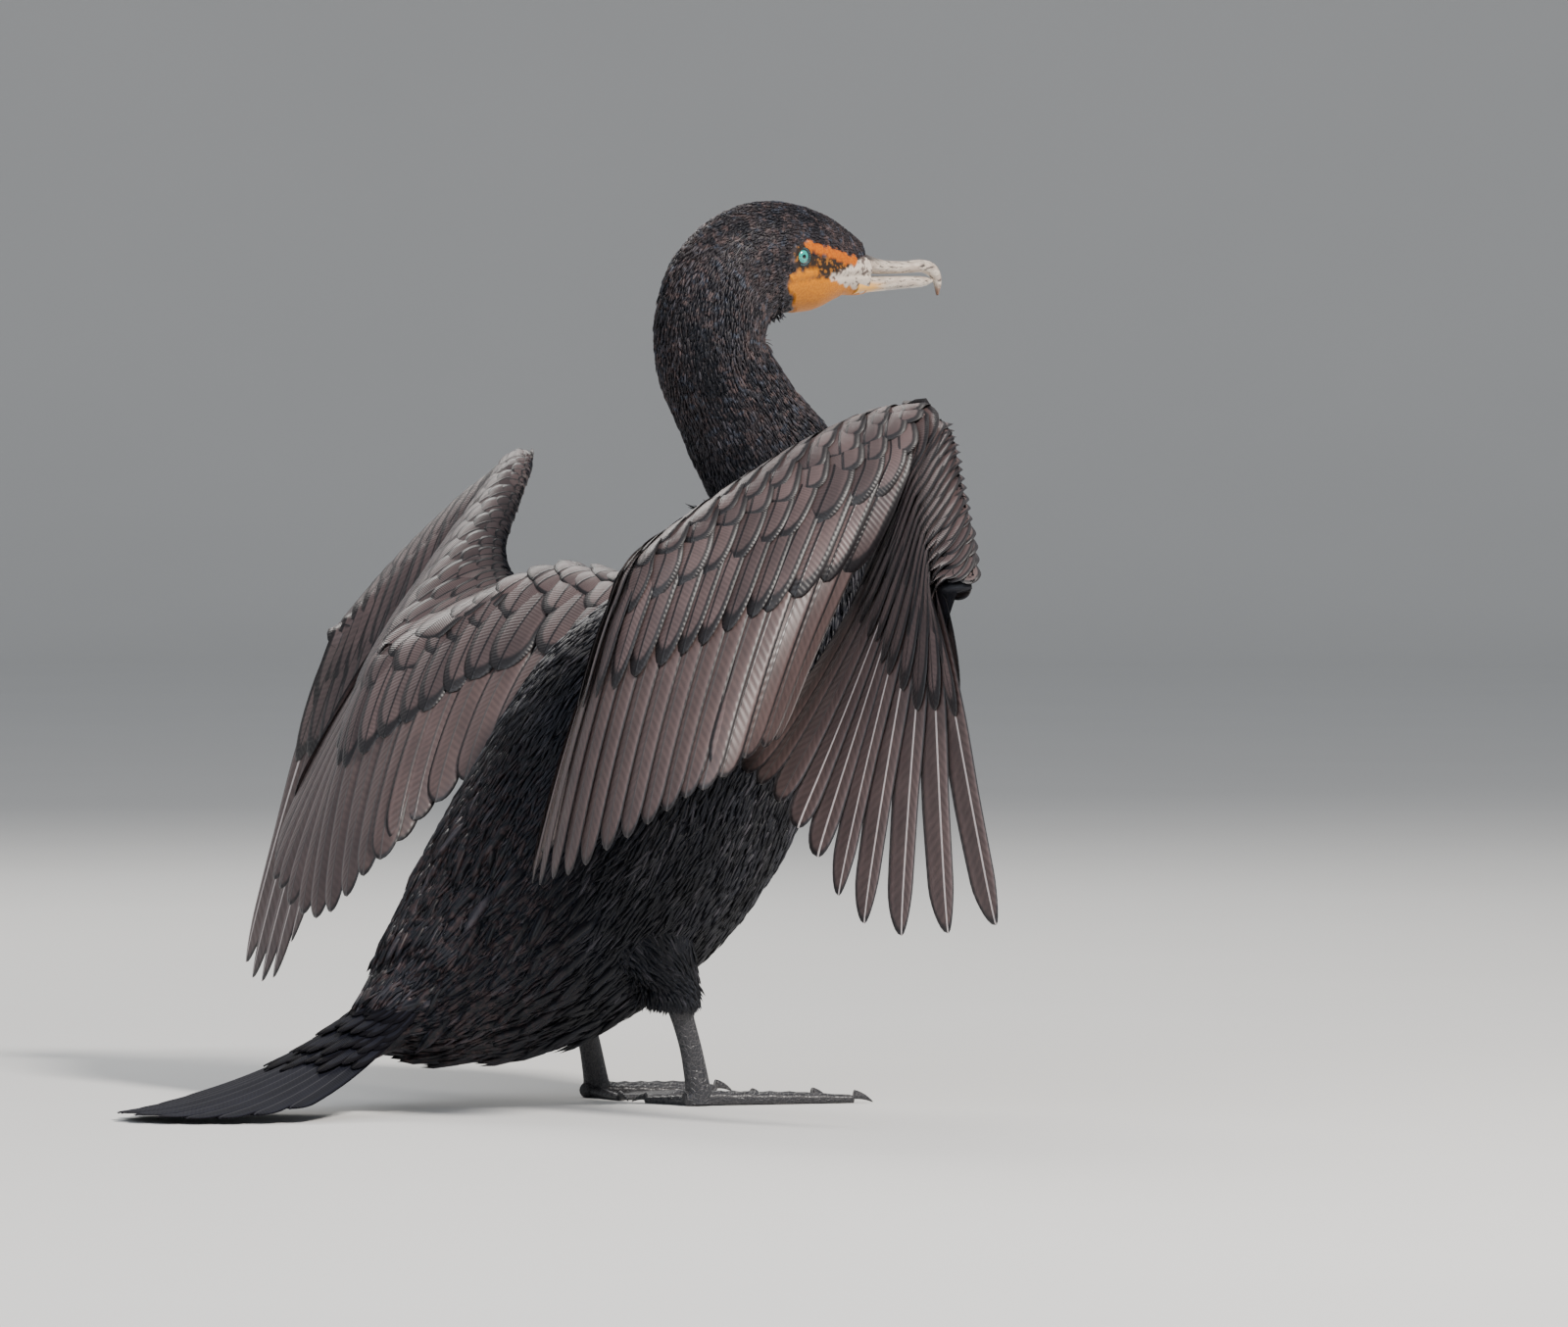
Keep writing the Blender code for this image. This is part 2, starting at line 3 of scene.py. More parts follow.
import bmesh
import bpy
import numpy as np
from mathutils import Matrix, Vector


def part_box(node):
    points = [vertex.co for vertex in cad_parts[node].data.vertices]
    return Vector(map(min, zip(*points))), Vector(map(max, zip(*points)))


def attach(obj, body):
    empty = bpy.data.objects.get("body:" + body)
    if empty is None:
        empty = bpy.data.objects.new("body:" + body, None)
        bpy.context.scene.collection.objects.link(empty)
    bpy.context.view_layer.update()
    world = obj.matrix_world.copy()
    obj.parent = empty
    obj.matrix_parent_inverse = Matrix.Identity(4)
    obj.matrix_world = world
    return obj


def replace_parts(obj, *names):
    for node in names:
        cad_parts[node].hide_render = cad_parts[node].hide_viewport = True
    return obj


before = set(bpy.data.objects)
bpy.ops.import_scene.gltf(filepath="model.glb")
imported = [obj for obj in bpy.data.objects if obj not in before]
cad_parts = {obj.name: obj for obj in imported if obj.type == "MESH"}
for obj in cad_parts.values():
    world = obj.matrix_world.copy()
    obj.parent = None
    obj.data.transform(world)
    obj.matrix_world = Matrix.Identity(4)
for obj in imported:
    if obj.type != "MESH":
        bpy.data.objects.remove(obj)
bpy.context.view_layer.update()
draw = np.random.default_rng(11)
sides = {"r": -1.0, "l": 1.0}
fullTurn = 2 * math.pi

# The model was centred on its box, and the right eye says by how much
eyeBox = np.array(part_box("eye_r"))
eyePlace = (0.0985, 0.0178, 0.4490)
shift = np.array([eyeBox[:, 0].mean() - eyePlace[0], eyeBox[:, 1].mean() + eyePlace[1], 0.0])
print("centred by", shift.round(4))


# Numbers and meshes

def unit(v):
    return v / np.maximum(np.linalg.norm(v, axis=-1, keepdims=True), 1e-12)


def smooth(low, high, x):
    t = np.clip((np.asarray(x, float) - low) / (high - low), 0.0, 1.0)
    return t * t * (3 - 2 * t)


def bell(x, wide):
    return np.exp(-(x / wide) ** 2)


def circle(count):
    return np.linspace(0, fullTurn, count, endpoint=False)


def curveRows(rows, places):
    # reads a smooth curve through the rows at fractional row numbers
    rows = np.array(rows, float)
    last = len(rows) - 1
    places = np.clip(places, 0, last)
    index = np.minimum(np.floor(places).astype(int), last - 1)
    f = (places - index)[..., None]
    pad = np.vstack([2 * rows[0] - rows[1], rows, 2 * rows[-1] - rows[-2]])
    a, b, c, d = pad[index], pad[index + 1], pad[index + 2], pad[index + 3]
    return b + 0.5 * ((c - a) * f + (2 * a - 5 * b + 4 * c - d) * f ** 2 + (3 * b - a - 3 * c + d) * f ** 3)


def addPiece(name, points, faces, material, uvs=None, tones=None):
    # points are in the bird's own frame, so the shift goes on here
    mesh = bpy.data.meshes.new(name)
    mesh.from_pydata((np.asarray(points) + shift).tolist(), [], [list(map(int, f)) for f in faces])
    for uvName, values in (uvs or {}).items():
        layer = mesh.uv_layers.new(name=uvName)
        corners = np.empty(len(mesh.loops), int)
        mesh.loops.foreach_get("vertex_index", corners)
        layer.data.foreach_set("uv", np.asarray(values, np.float32)[corners].ravel())
    if tones is not None:
        layer = mesh.attributes.new("tone", "FLOAT_COLOR", "POINT")
        layer.data.foreach_set("color", np.asarray(tones, np.float32).ravel())
    mesh.materials.append(material)
    mesh.polygons.foreach_set("use_smooth", [True] * len(mesh.polygons))
    mesh.update()
    piece = bpy.data.objects.new(name, mesh)
    bpy.context.scene.collection.objects.link(piece)
    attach(piece, "root")
    print(name, len(mesh.polygons), "faces")
    return piece


def tube(rings, capped=True):
    # a skin over rings of equal counts, with fans over its ends
    rings = np.asarray(rings)
    count, around = rings.shape[:2]
    points = rings.reshape(-1, 3)
    faces = []
    for level in range(count - 1):
        for step in range(around):
            a, b = level * around + step, level * around + (step + 1) % around
            faces.append((a, b, b + around, a + around))
    if capped:
        points = np.vstack([points, rings[0].mean(0), rings[-1].mean(0)])
        first, base = len(points) - 2, (count - 1) * around
        for step in range(around):
            after = (step + 1) % around
            faces += [(after, step, first), (base + step, base + after, first + 1)]
    return points, faces


def joined(parts):
    # one list of points and one of faces, from several shapes
    points, faces, base = [], [], 0
    for pts, quads in parts:
        points.append(pts)
        faces += [tuple(v + base for v in quad) for quad in quads]
        base += len(pts)
    return np.vstack(points), faces


def turnOut(piece, weld=0.0):
    shape = bmesh.new()
    shape.from_mesh(piece.data)
    if weld:
        bmesh.ops.remove_doubles(shape, verts=shape.verts, dist=weld)
    bmesh.ops.recalc_face_normals(shape, faces=shape.faces)
    shape.to_mesh(piece.data)
    shape.free()


# Shading

class Nodes:  # short calls for the shader nodes used here, in one tree
    def __init__(self, tree):
        self.tree = tree

    def new(self, kind, **inputs):
        node = self.tree.nodes.new("ShaderNode" + kind)
        for name, item in inputs.items():
            self.put(node.inputs[name], item)
        return node

    def put(self, socket, item):
        if isinstance(item, (int, float)):
            socket.default_value = item
        elif isinstance(item, tuple):
            socket.default_value = (*item, 1.0)
        else:
            self.tree.links.new(item, socket)

    def math(self, op, *items, clamp=False):
        node = self.new("Math")
        node.operation = op
        node.use_clamp = clamp
        for socket, item in zip(node.inputs, items):
            self.put(socket, item)
        return node.outputs[0]

    def add(self, a, b):
        return self.math("ADD", a, b)

    def sub(self, a, b):
        return self.math("SUBTRACT", a, b)

    def mul(self, a, b):
        return self.math("MULTIPLY", a, b)

    def step(self, x, low, high):
        node = self.new("MapRange", Value=x)
        node.interpolation_type = "SMOOTHSTEP"
        node.inputs["From Min"].default_value = low
        node.inputs["From Max"].default_value = high
        return node.outputs["Result"]

    def fall(self, x, low, high):
        return self.sub(1.0, self.step(x, low, high))

    def mix(self, factor, a, b):
        node = self.new("Mix")
        node.data_type = "RGBA"
        for index, item in ((0, factor), (6, a), (7, b)):
            self.put(node.inputs[index], item)
        return node.outputs[2]

    def noise(self, vector, scale, detail=3.0, rough=0.55):
        return self.new("TexNoise", Scale=scale, Detail=detail, Roughness=rough, Vector=vector).outputs["Fac"]

    def where(self):
        return self.new("TexCoord").outputs["Object"]

    def axes(self, vector):
        return self.new("SeparateXYZ", Vector=vector).outputs

    def tone(self):
        node = self.new("Attribute")
        node.attribute_name = "tone"
        red, green, blue = self.new("SeparateColor", Color=node.outputs["Color"]).outputs
        return red, green, blue, node.outputs["Alpha"]

    def bump(self, surface, height, strength, distance):
        node = self.new("Bump", Height=height, Strength=strength, Distance=distance)
        self.put(surface.inputs["Normal"], node.outputs["Normal"])


def newMaterial(name, rough=0.5, specular=0.5, **more):
    made = bpy.data.materials.new(name)
    made.use_nodes = True
    surface = made.node_tree.nodes["Principled BSDF"]
    nodes = Nodes(made.node_tree)
    settings = {"Roughness": rough, "Specular IOR Level": specular, "Sheen Roughness": 0.4, "Coat Roughness": 0.1}
    for socket, item in {**settings, **more}.items():
        nodes.put(surface.inputs[socket], item)
    return made, nodes, surface


def makeVaneGroup():
    # marks of one feather: dark margin, shaft, and the slanting barbs
    group = bpy.data.node_groups.new("vaneMarks", "ShaderNodeTree")
    group.interface.new_socket("Vector", in_out="INPUT", socket_type="NodeSocketVector")
    for name in ("Margin", "Round", "Barbs"):
        group.interface.new_socket(name, in_out="INPUT", socket_type="NodeSocketFloat")
    for name in ("Edge", "Shaft", "Barb", "Along", "Across"):
        group.interface.new_socket(name, in_out="OUTPUT", socket_type="NodeSocketFloat")
    start = group.nodes.new("NodeGroupInput").outputs
    end = group.nodes.new("NodeGroupOutput").inputs
    n = Nodes(group)
    split = n.axes(start["Vector"])
    across = n.math("ABSOLUTE", n.mul(n.sub(split[0], 0.5), 2.0))
    along = split[1]
    wobble = n.mul(n.noise(start["Vector"], 9.0, 2.0), 0.10)
    # the outline is a half round past the place where the tip begins, so one radius gives the whole margin
    ahead = n.math("DIVIDE", n.sub(along, start["Round"]), n.sub(1.0, start["Round"]), clamp=True)
    radius = n.math("SQRT", n.math("MULTIPLY_ADD", across, across, n.mul(ahead, ahead)))
    inside = n.sub(1.02, start["Margin"])
    edge = n.math("DIVIDE", n.sub(n.add(radius, wobble), inside), 0.10, clamp=True)
    wave = n.math("SINE", n.mul(n.sub(along, n.mul(across, 0.05)), start["Barbs"]))
    made = {"Edge": edge, "Shaft": n.fall(across, 0.035, 0.085), "Barb": wave, "Along": along, "Across": across}
    for name, item in made.items():
        n.put(end[name], item)
    return group


vaneGroup = makeVaneGroup()


def featherMaterial(name, look):
    made, n, surface = newMaterial(name, look["rough"], look["specular"], **look["surface"])
    uv = n.new("UVMap")
    uv.uv_map = "Vane"
    red, green, blue, tip = n.tone()
    # alpha of the tone is where the rounded tip begins, and flight feathers have the narrower margin
    isFlight = n.step(tip, 0.80, 0.84)
    margin = n.math("MULTIPLY_ADD", isFlight, look["flightMargin"] - look["margin"], look["margin"])
    group = n.new("Group")
    group.node_tree = vaneGroup
    for socket, item in (("Vector", uv.outputs[0]), ("Margin", margin), ("Round", tip), ("Barbs", look["barbs"])):
        n.put(group.inputs[socket], item)
    marks = group.outputs
    centre = n.mix(green, n.mix(red, look["dark"], look["light"]), look["flight"])
    shade = n.step(n.noise(n.where(), 55.0, 4.0), 0.25, 0.8)
    barb = n.math("MULTIPLY_ADD", marks["Barb"], 0.5, 0.5)
    # the noise patches and barb stripes are the feathers' own tone; the darkening towards each root is painted shade,
    # where the row above covers it
    for item, depth in ((shade, 0.45), (barb, 0.30), (n.fall(marks["Along"], 0.0, 0.35), 0.5)):
        centre = n.mix(n.mul(item, depth), centre, look["deep"])
    # a thin pale line runs just inside the dark margin
    nearRim = n.step(marks["Across"], 0.45, 0.72)
    centre = n.mix(n.mul(nearRim, look["paleLine"]), centre, look["light"])
    colour = n.mix(n.mul(marks["Edge"], look["edgeDepth"]), centre, look["edge"])
    # blue of the tone is 1 where the shaft gets the full painted highlight, a pale colour that stands in for its
    # glint; the lower roughness below is its real gloss
    shaftHighlightColour = n.mix(blue, look["edge"], look["shaft"])
    colour = n.mix(n.mul(marks["Shaft"], 0.9), colour, shaftHighlightColour)
    n.put(surface.inputs["Base Color"], colour)
    # the very rim is dull, so thin edges don't glint
    rough = n.add(look["rough"], n.mul(n.step(marks["Across"], 0.90, 0.99), 0.4))
    n.put(surface.inputs["Roughness"], n.sub(rough, n.mul(marks["Shaft"], 0.12)))
    n.bump(surface, n.add(barb, n.mul(marks["Shaft"], 1.6)), look["bump"], 0.0003)
    return made


plumage = {
    "body": ((0.0045, 0.0048, 0.0070), (0.012, 0.013, 0.019)),
    "rump": (0.042, 0.026, 0.027),
    "sooty": ((0.010, 0.010, 0.014), (0.036, 0.028, 0.030)),
    "brownFleck": (0.092, 0.063, 0.061),
    "blueFleck": (0.055, 0.062, 0.084),
    # painted shade colour for the crease down the side of the neck
    "paintedFoldShade": (0.005, 0.005, 0.007),
    "foldAt": 0.150,
    "lores": ((0.022, 0.014, 0.010), (0.26, 0.10, 0.015)),
    "orange": ((0.44, 0.090, 0.0), (0.56, 0.140, 0.0)),
    "yellow": ((0.48, 0.145, 0.0), (0.60, 0.205, 0.0)),
    "plate": ((0.60, 0.52, 0.44), (0.13, 0.10, 0.09)),
    "shadow": (0.004, 0.004, 0.006),
    "pale": (0.13, 0.12, 0.14),
}


def plumageMaterial(name, isSkin):
    # the same markings for skin and coat: sooty head and neck with brown and grey flecks, blue-black body
    sheen = {"Sheen Weight": 0.0 if isSkin else 0.04, "Sheen Tint": (0.62, 0.72, 1.0), "Coat Roughness": 0.35}
    made, n, surface = newMaterial(name, 0.46, 0.28, **sheen)
    where = n.where()
    x, _, height = n.axes(where)
    flecks = n.noise(where, 230.0)
    patches = n.noise(where, 45.0)
    body = n.mix(n.step(patches, 0.35, 0.7), *plumage["body"])
    rump = n.mul(n.fall(x, -0.055, -0.005), n.step(flecks, 0.45, 0.62))
    body = n.mix(rump, body, plumage["rump"])
    sooty = n.mix(n.step(patches, 0.38, 0.62), *plumage["sooty"])
    sooty = n.mix(n.step(flecks, 0.50, 0.64), sooty, plumage["brownFleck"])
    sooty = n.mix(n.step(n.noise(where, 210.0, 2.0), 0.55, 0.68), sooty, plumage["blueFleck"])
    # painted shade: a dark line runs down the side of the neck, in a crease of the feathers
    place = n.math("MULTIPLY_ADD", height, 0.30, x)
    place = n.math("MULTIPLY_ADD", n.noise(where, 40.0, 2.0), 0.010, place)
    at = shift[0] + plumage["foldAt"]
    paintedFoldShade = n.mul(n.step(place, at, at + 0.005), n.fall(place, at + 0.009, at + 0.017))
    paintedFoldShade = n.mul(n.mul(paintedFoldShade, n.fall(height, 0.408, 0.428)), n.step(height, 0.355, 0.380))
    sooty = n.mix(n.mul(paintedFoldShade, 0.85), sooty, plumage["paintedFoldShade"])
    colour = n.mix(n.step(height, 0.315, 0.375), body, sooty)
    red, green, blue, alpha = n.tone()
    if isSkin:
        # tone: orange bare skin, yellow pouch, dark lores, and the horn beside the gape
        grain = n.step(n.noise(where, 900.0, 2.0), 0.35, 0.65)
        mottle = n.step(n.noise(where, 420.0), 0.50, 0.60)
        streak = n.step(n.noise(where, 330.0, 4.0), 0.50, 0.62)
        layers = ((blue, mottle, "lores"), (green, grain, "yellow"), (red, grain, "orange"), (alpha, streak, "plate"))
        for mask, pattern, key in layers:
            colour = n.mix(mask, colour, n.mix(pattern, *plumage[key]))
        n.bump(surface, n.noise(where, 1100.0, 2.0), 0.5, 0.0004)
    else:
        colour = n.mix(n.mul(red, 0.60), colour, plumage["shadow"])
        colour = n.mix(n.mul(green, 0.35), colour, plumage["pale"])
    n.put(surface.inputs["Base Color"], colour)
    return made


wingLook = {
    "rough": 0.46, "specular": 0.5, "margin": 0.34, "flightMargin": 0.16, "barbs": 210.0,
    "surface": {"Sheen Weight": 0.10, "Sheen Tint": (1.0, 0.9, 0.9), "Coat Weight": 0.12, "Coat Roughness": 0.32},
    "bump": 0.4, "edgeDepth": 0.96, "paleLine": 0.35,
    "dark": (0.048, 0.032, 0.033), "light": (0.150, 0.102, 0.100), "flight": (0.100, 0.066, 0.062),
    # shaft is a painted highlight: the pale colour stands in for the glint along the flight feathers' shafts
    "deep": (0.024, 0.017, 0.019), "edge": (0.0040, 0.0036, 0.0055), "shaft": (0.62, 0.55, 0.54),
}
underLook = {
    **wingLook,
    "dark": (0.030, 0.025, 0.027), "light": (0.055, 0.046, 0.047), "flight": (0.085, 0.064, 0.062),
    "deep": (0.020, 0.017, 0.019),
}
tailLook = {
    **wingLook, "rough": 0.80, "specular": 0.08, "surface": {}, "barbs": 380.0,
    "dark": (0.008, 0.009, 0.014), "light": (0.019, 0.020, 0.030), "flight": (0.012, 0.013, 0.020),
    "deep": (0.006, 0.006, 0.009), "shaft": (0.030, 0.030, 0.040),
}
wingMaterial = featherMaterial("wingFeathers", wingLook)
underMaterial = featherMaterial("underwingFeathers", underLook)
tailMaterial = featherMaterial("tailFeathers", tailLook)
skinMaterial = plumageMaterial("birdSkin", True)
coatMaterial = plumageMaterial("bodyFeathers", False)

# Body: one skin from tail root to bill, denser on the head

trunk = {
    "rings": [  # forward, height, half depth, half width
        (-0.152, 0.050, 0.020, 0.024), (-0.117, 0.064, 0.044, 0.046), (-0.067, 0.094, 0.070, 0.064),
        (-0.016, 0.137, 0.085, 0.070), (0.025, 0.185, 0.086, 0.070), (0.063, 0.231, 0.072, 0.062),
        (0.094, 0.277, 0.056, 0.050), (0.100, 0.322, 0.043, 0.038), (0.073, 0.363, 0.034, 0.031),
        (0.054, 0.399, 0.031, 0.028), (0.061, 0.431, 0.032, 0.026), (0.085, 0.447, 0.0315, 0.0245),
        (0.117, 0.4475, 0.0275, 0.0205), (0.137, 0.4455, 0.0195, 0.0145), (0.152, 0.4405, 0.0115, 0.0100),
    ],
    "around": 104, "bodyRings": 190, "headRings": 150, "headFrom": 10.2,
    "coatDepth": (0.0026, 0.0010),
}
lastRing = len(trunk["rings"]) - 1
face = {  # forward and height on the side of the head
    "gape": ([0.0880, 0.1085, 0.1360, 0.1540], [0.4338, 0.4372, 0.4388, 0.4394]),
    "stripe": ((0.1015, 0.4552), (0.1385, 0.4464)), "stripeWide": 0.0027,
    "pouchRear": ((0.0870, 0.4340), (0.1040, 0.4190)),
    "cheek": ((0.0930, 0.4372), (0.1060, 0.4402)),
    "lores": ((0.1060, 0.4440), (0.1500, 0.4420)),
    "eyeBare": 0.0060, "eyeClear": 0.0072,
    "hornTop": ([0.1195, 0.1390, 0.1440], [0.4392, 0.4448, 0.4485]),
    "hornLow": ([0.1175, 0.1492], [0.4373, 0.4300]), "hornRear": 0.1180,
    "brow": ((0.0900, 0.4568), (0.1180, 0.4580)),
    "hollow": (0.128, 0.4440),
}


def alongRows(rows, places, reach):
    # the direction of the curve in the bird's middle plane, and the one square to it
    last = len(rows) - 1
    gone = curveRows(rows, np.minimum(places + reach, last)) - curveRows(rows, np.maximum(places - reach, 0))
    return unit(np.stack([gone[..., 0], 0 * places, gone[..., 1]], -1))


def towardsFront(along, share):
    return unit(along + share[..., None] * (np.array([1.0, 0, 0]) - along))


def upFrom(along):
    return np.stack([-along[..., 2], 0 * along[..., 0], along[..., 0]], -1)


def trunkPoint(place, angle, depth=0.0):
    row = curveRows(trunk["rings"], place)
    along = towardsFront(alongRows(trunk["rings"], place, 0.02), smooth(13.4, 14.0, place))
    centre = np.stack([row[..., 0], 0 * place, row[..., 1]], -1)
    deep = np.maximum(row[..., 2] - depth, 0.002)
    wide = np.maximum(row[..., 3] - depth, 0.002)
    side = np.cos(angle)[..., None] * np.array([0.0, 1.0, 0.0])
    point = centre + side * wide[..., None] + upFrom(along) * (np.sin(angle) * deep)[..., None]
    return sculptHead(point, place)


def segmentDistance(x, z, ends):
    (ax, az), (bx, bz) = ends
    t = np.clip(((x - ax) * (bx - ax) + (z - az) * (bz - az)) / ((bx - ax) ** 2 + (bz - az) ** 2), 0, 1)
    return np.hypot(x - ax - t * (bx - ax), z - az - t * (bz - az))


def eyeDistance(x, z):
    return np.hypot(x - eyePlace[0], z - eyePlace[2])


def faceMasks(point):
    # orange, yellow, dark and horn, from a point's place on the side of the head, and all of them together
    x, z = point[..., 0], point[..., 2]
    onHead = smooth(0.400, 0.410, z) * smooth(0.080, 0.084, x)
    wave = 0.0006 * np.sin(x * 900) + 0.0004 * np.sin(z * 1500 + x * 700)
    wide = face["stripeWide"]
    orange = 1 - smooth(wide * 0.75, wide * 1.1, segmentDistance(x, z, face["stripe"]) + wave)
    (rearX, rearZ), (lowX, lowZ) = face["pouchRear"]
    beside = (x - rearX) * (lowZ - rearZ) - (z - rearZ) * (lowX - rearX)
    ahead = -beside / math.hypot(lowX - rearX, lowZ - rearZ)
    ahead = np.where(z < lowZ, np.minimum(ahead, x - lowX + (z - lowZ) * 0.4), ahead)
    yellow = smooth(-0.0006, 0.0008, np.interp(x, *face["gape"]) - z + wave) * smooth(0.0, 0.0014, ahead + wave)
    yellow = np.maximum(yellow, 1 - smooth(0.0024, 0.0036, segmentDistance(x, z, face["cheek"]) + wave))
    dark = 1 - smooth(0.0046, 0.0062, segmentDistance(x, z, face["lores"]) + wave)
    ring = 1 - smooth(face["eyeBare"], face["eyeBare"] + 0.0012, eyeDistance(x, z) + wave)
    # the horn of both jaws reaches back over the side of the face
    horn = smooth(-0.0004, 0.0004, np.interp(x, *face["hornTop"]) - z + wave)
    horn = horn * smooth(-0.0004, 0.0004, z - np.interp(x, *face["hornLow"]) + wave)
    horn = horn * smooth(face["hornRear"], face["hornRear"] + 0.0020, x)
    masks = np.stack([mask * onHead for mask in (orange, yellow, np.maximum(dark, ring), horn)], -1)
    return masks, np.clip(masks.sum(-1), 0, 1)


def sculptHead(point, place):
    # brow over the eye, a seat for the eye, and the line of the mouth
    x, y, z = point[..., 0], point[..., 1], point[..., 2]
    above = z - np.interp(x, *face["gape"])
    inMouth = smooth(0.0875, 0.0920, x)
    push = 0.0011 * bell(segmentDistance(x, z, face["brow"]), 0.0032) - 0.0013 * bell(eyeDistance(x, z), 0.0052)
    push -= 0.0011 * bell(above, 0.0009) * inMouth
    push += 0.0007 * bell(above - 0.0030, 0.0020) * inMouth
    push -= 0.0012 * bell(x - face["hollow"][0], 0.014) * bell(z - face["hollow"][1], 0.0040)
    out = np.sign(y) * smooth(10.4, 11.0, place) * smooth(0.004, 0.010, np.abs(y))
    return np.stack([x, y + out * push, z], -1)


def coatDepth(place):
    body, head = trunk["coatDepth"]
    return body + (head - body) * smooth(6.5, 9.0, place)


def makeSkin():
    places = np.concatenate([
        np.linspace(0, trunk["headFrom"], trunk["bodyRings"], endpoint=False),
        np.linspace(trunk["headFrom"], lastRing, trunk["headRings"])])
    grid, turn = np.meshgrid(places, circle(trunk["around"]), indexing="ij")
    outer = trunkPoint(grid, turn)
    bare = faceMasks(outer)[1][..., None]  # bare skin isn't under the coat
    points, faces = tube(trunkPoint(grid, turn, coatDepth(grid)) * (1 - bare) + outer * bare)
    spots = np.stack([grid.ravel() / lastRing, turn.ravel() / fullTurn], -1)
    spots = np.vstack([spots, [[0.0, 0.5], [1.0, 0.5]]])
    piece = addPiece("bodySkin", points, faces, skinMaterial, {"Skin": spots}, faceMasks(points)[0])
    turnOut(piece)
    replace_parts(piece, "torso", "neck_lower", "neck_middle", "neck_upper", "head", "gular_pouch")


# Coat: narrow blades that lie along the body

blade = {
    # each blade is a thin closed leaf: a root, two sections of three points, and a tip
    "sections": ((0.38, 1.0), (0.76, 0.78)), "ridge": 0.34, "swing": 0.16, "sunk": 0.0004,
    "faces": [(0, 1, 2), (0, 2, 3), (0, 3, 1), (1, 4, 5), (1, 5, 2), (2, 5, 6), (2, 6, 3), (3, 6, 4), (3, 4, 1),
              (4, 7, 5), (5, 7, 6), (6, 7, 4)],
    "patch": [(0, 0), (-1, -1), (0, 0), (1, -1), (-1, 1), (0, 1), (1, 1), (0, 2)], "patchSize": 0.00075,
}


def blades(name, roots, normals, lies, lengths, widths, lifts, spots, tones):
    count = len(roots)
    lies = unit(lies - normals * (lies * normals).sum(-1, keepdims=True))
    lies = unit(lies + np.cross(normals, lies) * draw.normal(0, blade["swing"], (count, 1)))
    sideways = np.cross(normals, lies)
    length, width, lift = (np.asarray(v)[:, None] * np.ones((count, 1)) for v in (lengths, widths, lifts))

    def along(t):
        return roots + lies * length * t + normals * length * (lift * t - 0.55 * lift * t * t)

    sections = [along(0.0)[:, None] - normals[:, None] * blade["sunk"]]
    for t, size in blade["sections"]:
        middle = along(t)
        half = sideways * width * 0.5 * size
        ridge = middle + normals * width * blade["ridge"] * size
        sections.append(np.stack([middle - half, ridge, middle + half], 1))
    sections.append(along(1.0)[:, None])
    points = np.concatenate(sections, 1).reshape(-1, 3)
    corners = points.shape[0] // count
    faces = (np.array(blade["faces"])[None] + corners * np.arange(count)[:, None, None]).reshape(-1, 3)
    patch = np.array(blade["patch"]) * blade["patchSize"]
    bake = (0.02 + 0.96 * spots[:, None] + patch[None]).reshape(-1, 2)
    piece = addPiece(name, points, faces, coatMaterial, {"OFBake": bake}, np.repeat(tones, corners, 0))


def bladeTones(count, paleFrom, paleDepth=None):
    # how dark each blade is, and how pale the few pale ones are
    shade = draw.random(count)
    pale = (draw.random(count) > paleFrom) * (draw.random(count) if paleDepth is None else paleDepth)
    return np.stack([shade, pale, draw.random(count), np.ones(count)], -1)


def coatRegion(name, first, last, spacing, length, width, lift):
    # rows of roots round the trunk, from one ring place to another; spacing is along and across
    steps = np.linspace(first, last, 400)
    centres = curveRows(trunk["rings"], steps)
    run = np.concatenate([[0], np.cumsum(np.hypot(np.diff(centres[:, 0]), np.diff(centres[:, 1])))])
    rows = max(int(run[-1] / spacing[0]), 1)
    places, angles = [], []
    for index in range(rows):
        place = float(np.interp((index + 0.5) / rows * run[-1], run, steps))
        _, _, deep, wide = curveRows(trunk["rings"], np.array(place))
        many = int(math.pi * (deep + wide) / spacing[1])
        turn = (np.arange(many) + 0.5 * (index % 2)) / many * 2 * math.pi
        places.append(place + draw.uniform(-0.5, 0.5, many) * (last - first) / rows)
        angles.append(turn + draw.uniform(-0.5, 0.5, many) * 2 * math.pi / many)
    place = np.clip(np.concatenate(places), 0.02, 13.9)
    angle = np.concatenate(angles)
    depth = coatDepth(place)
    root = trunkPoint(place, angle, depth)
    ahead = trunkPoint(place + 0.03, angle, depth)
    beside = trunkPoint(place, angle + 0.03, depth)
    normal = unit(np.cross(ahead - root, beside - root))
    row = curveRows(trunk["rings"], place)
    outward = root - np.stack([row[:, 0], 0 * place, row[:, 1]], -1)
    normal *= np.sign((normal * outward).sum(-1, keepdims=True))
    keep = faceMasks(root)[1] < 0.25
    keep &= (eyeDistance(root[:, 0], root[:, 2]) > face["eyeClear"]) | (place < 10.5)
    root, normal, ahead, place, angle = (rows[keep] for rows in (root, normal, ahead, place, angle))
    count = len(root)
    size = draw.uniform(0.75, 1.25, count)
    short = 1 - 0.55 * smooth(10.8, 13.2, place)  # smallest on the face
    lies = root - ahead
    lies[:, 2] -= 0.15 * np.linalg.norm(lies, axis=-1)
    tones = bladeTones(count, 0.86)
    spots = np.stack([place / 14, (angle / fullTurn) % 1.0], -1)
    blades(name, root, normal, lies, length * size * short, width * size * (0.4 + 0.6 * short),
           lift * draw.uniform(0.5, 1.4, count), spots, tones)


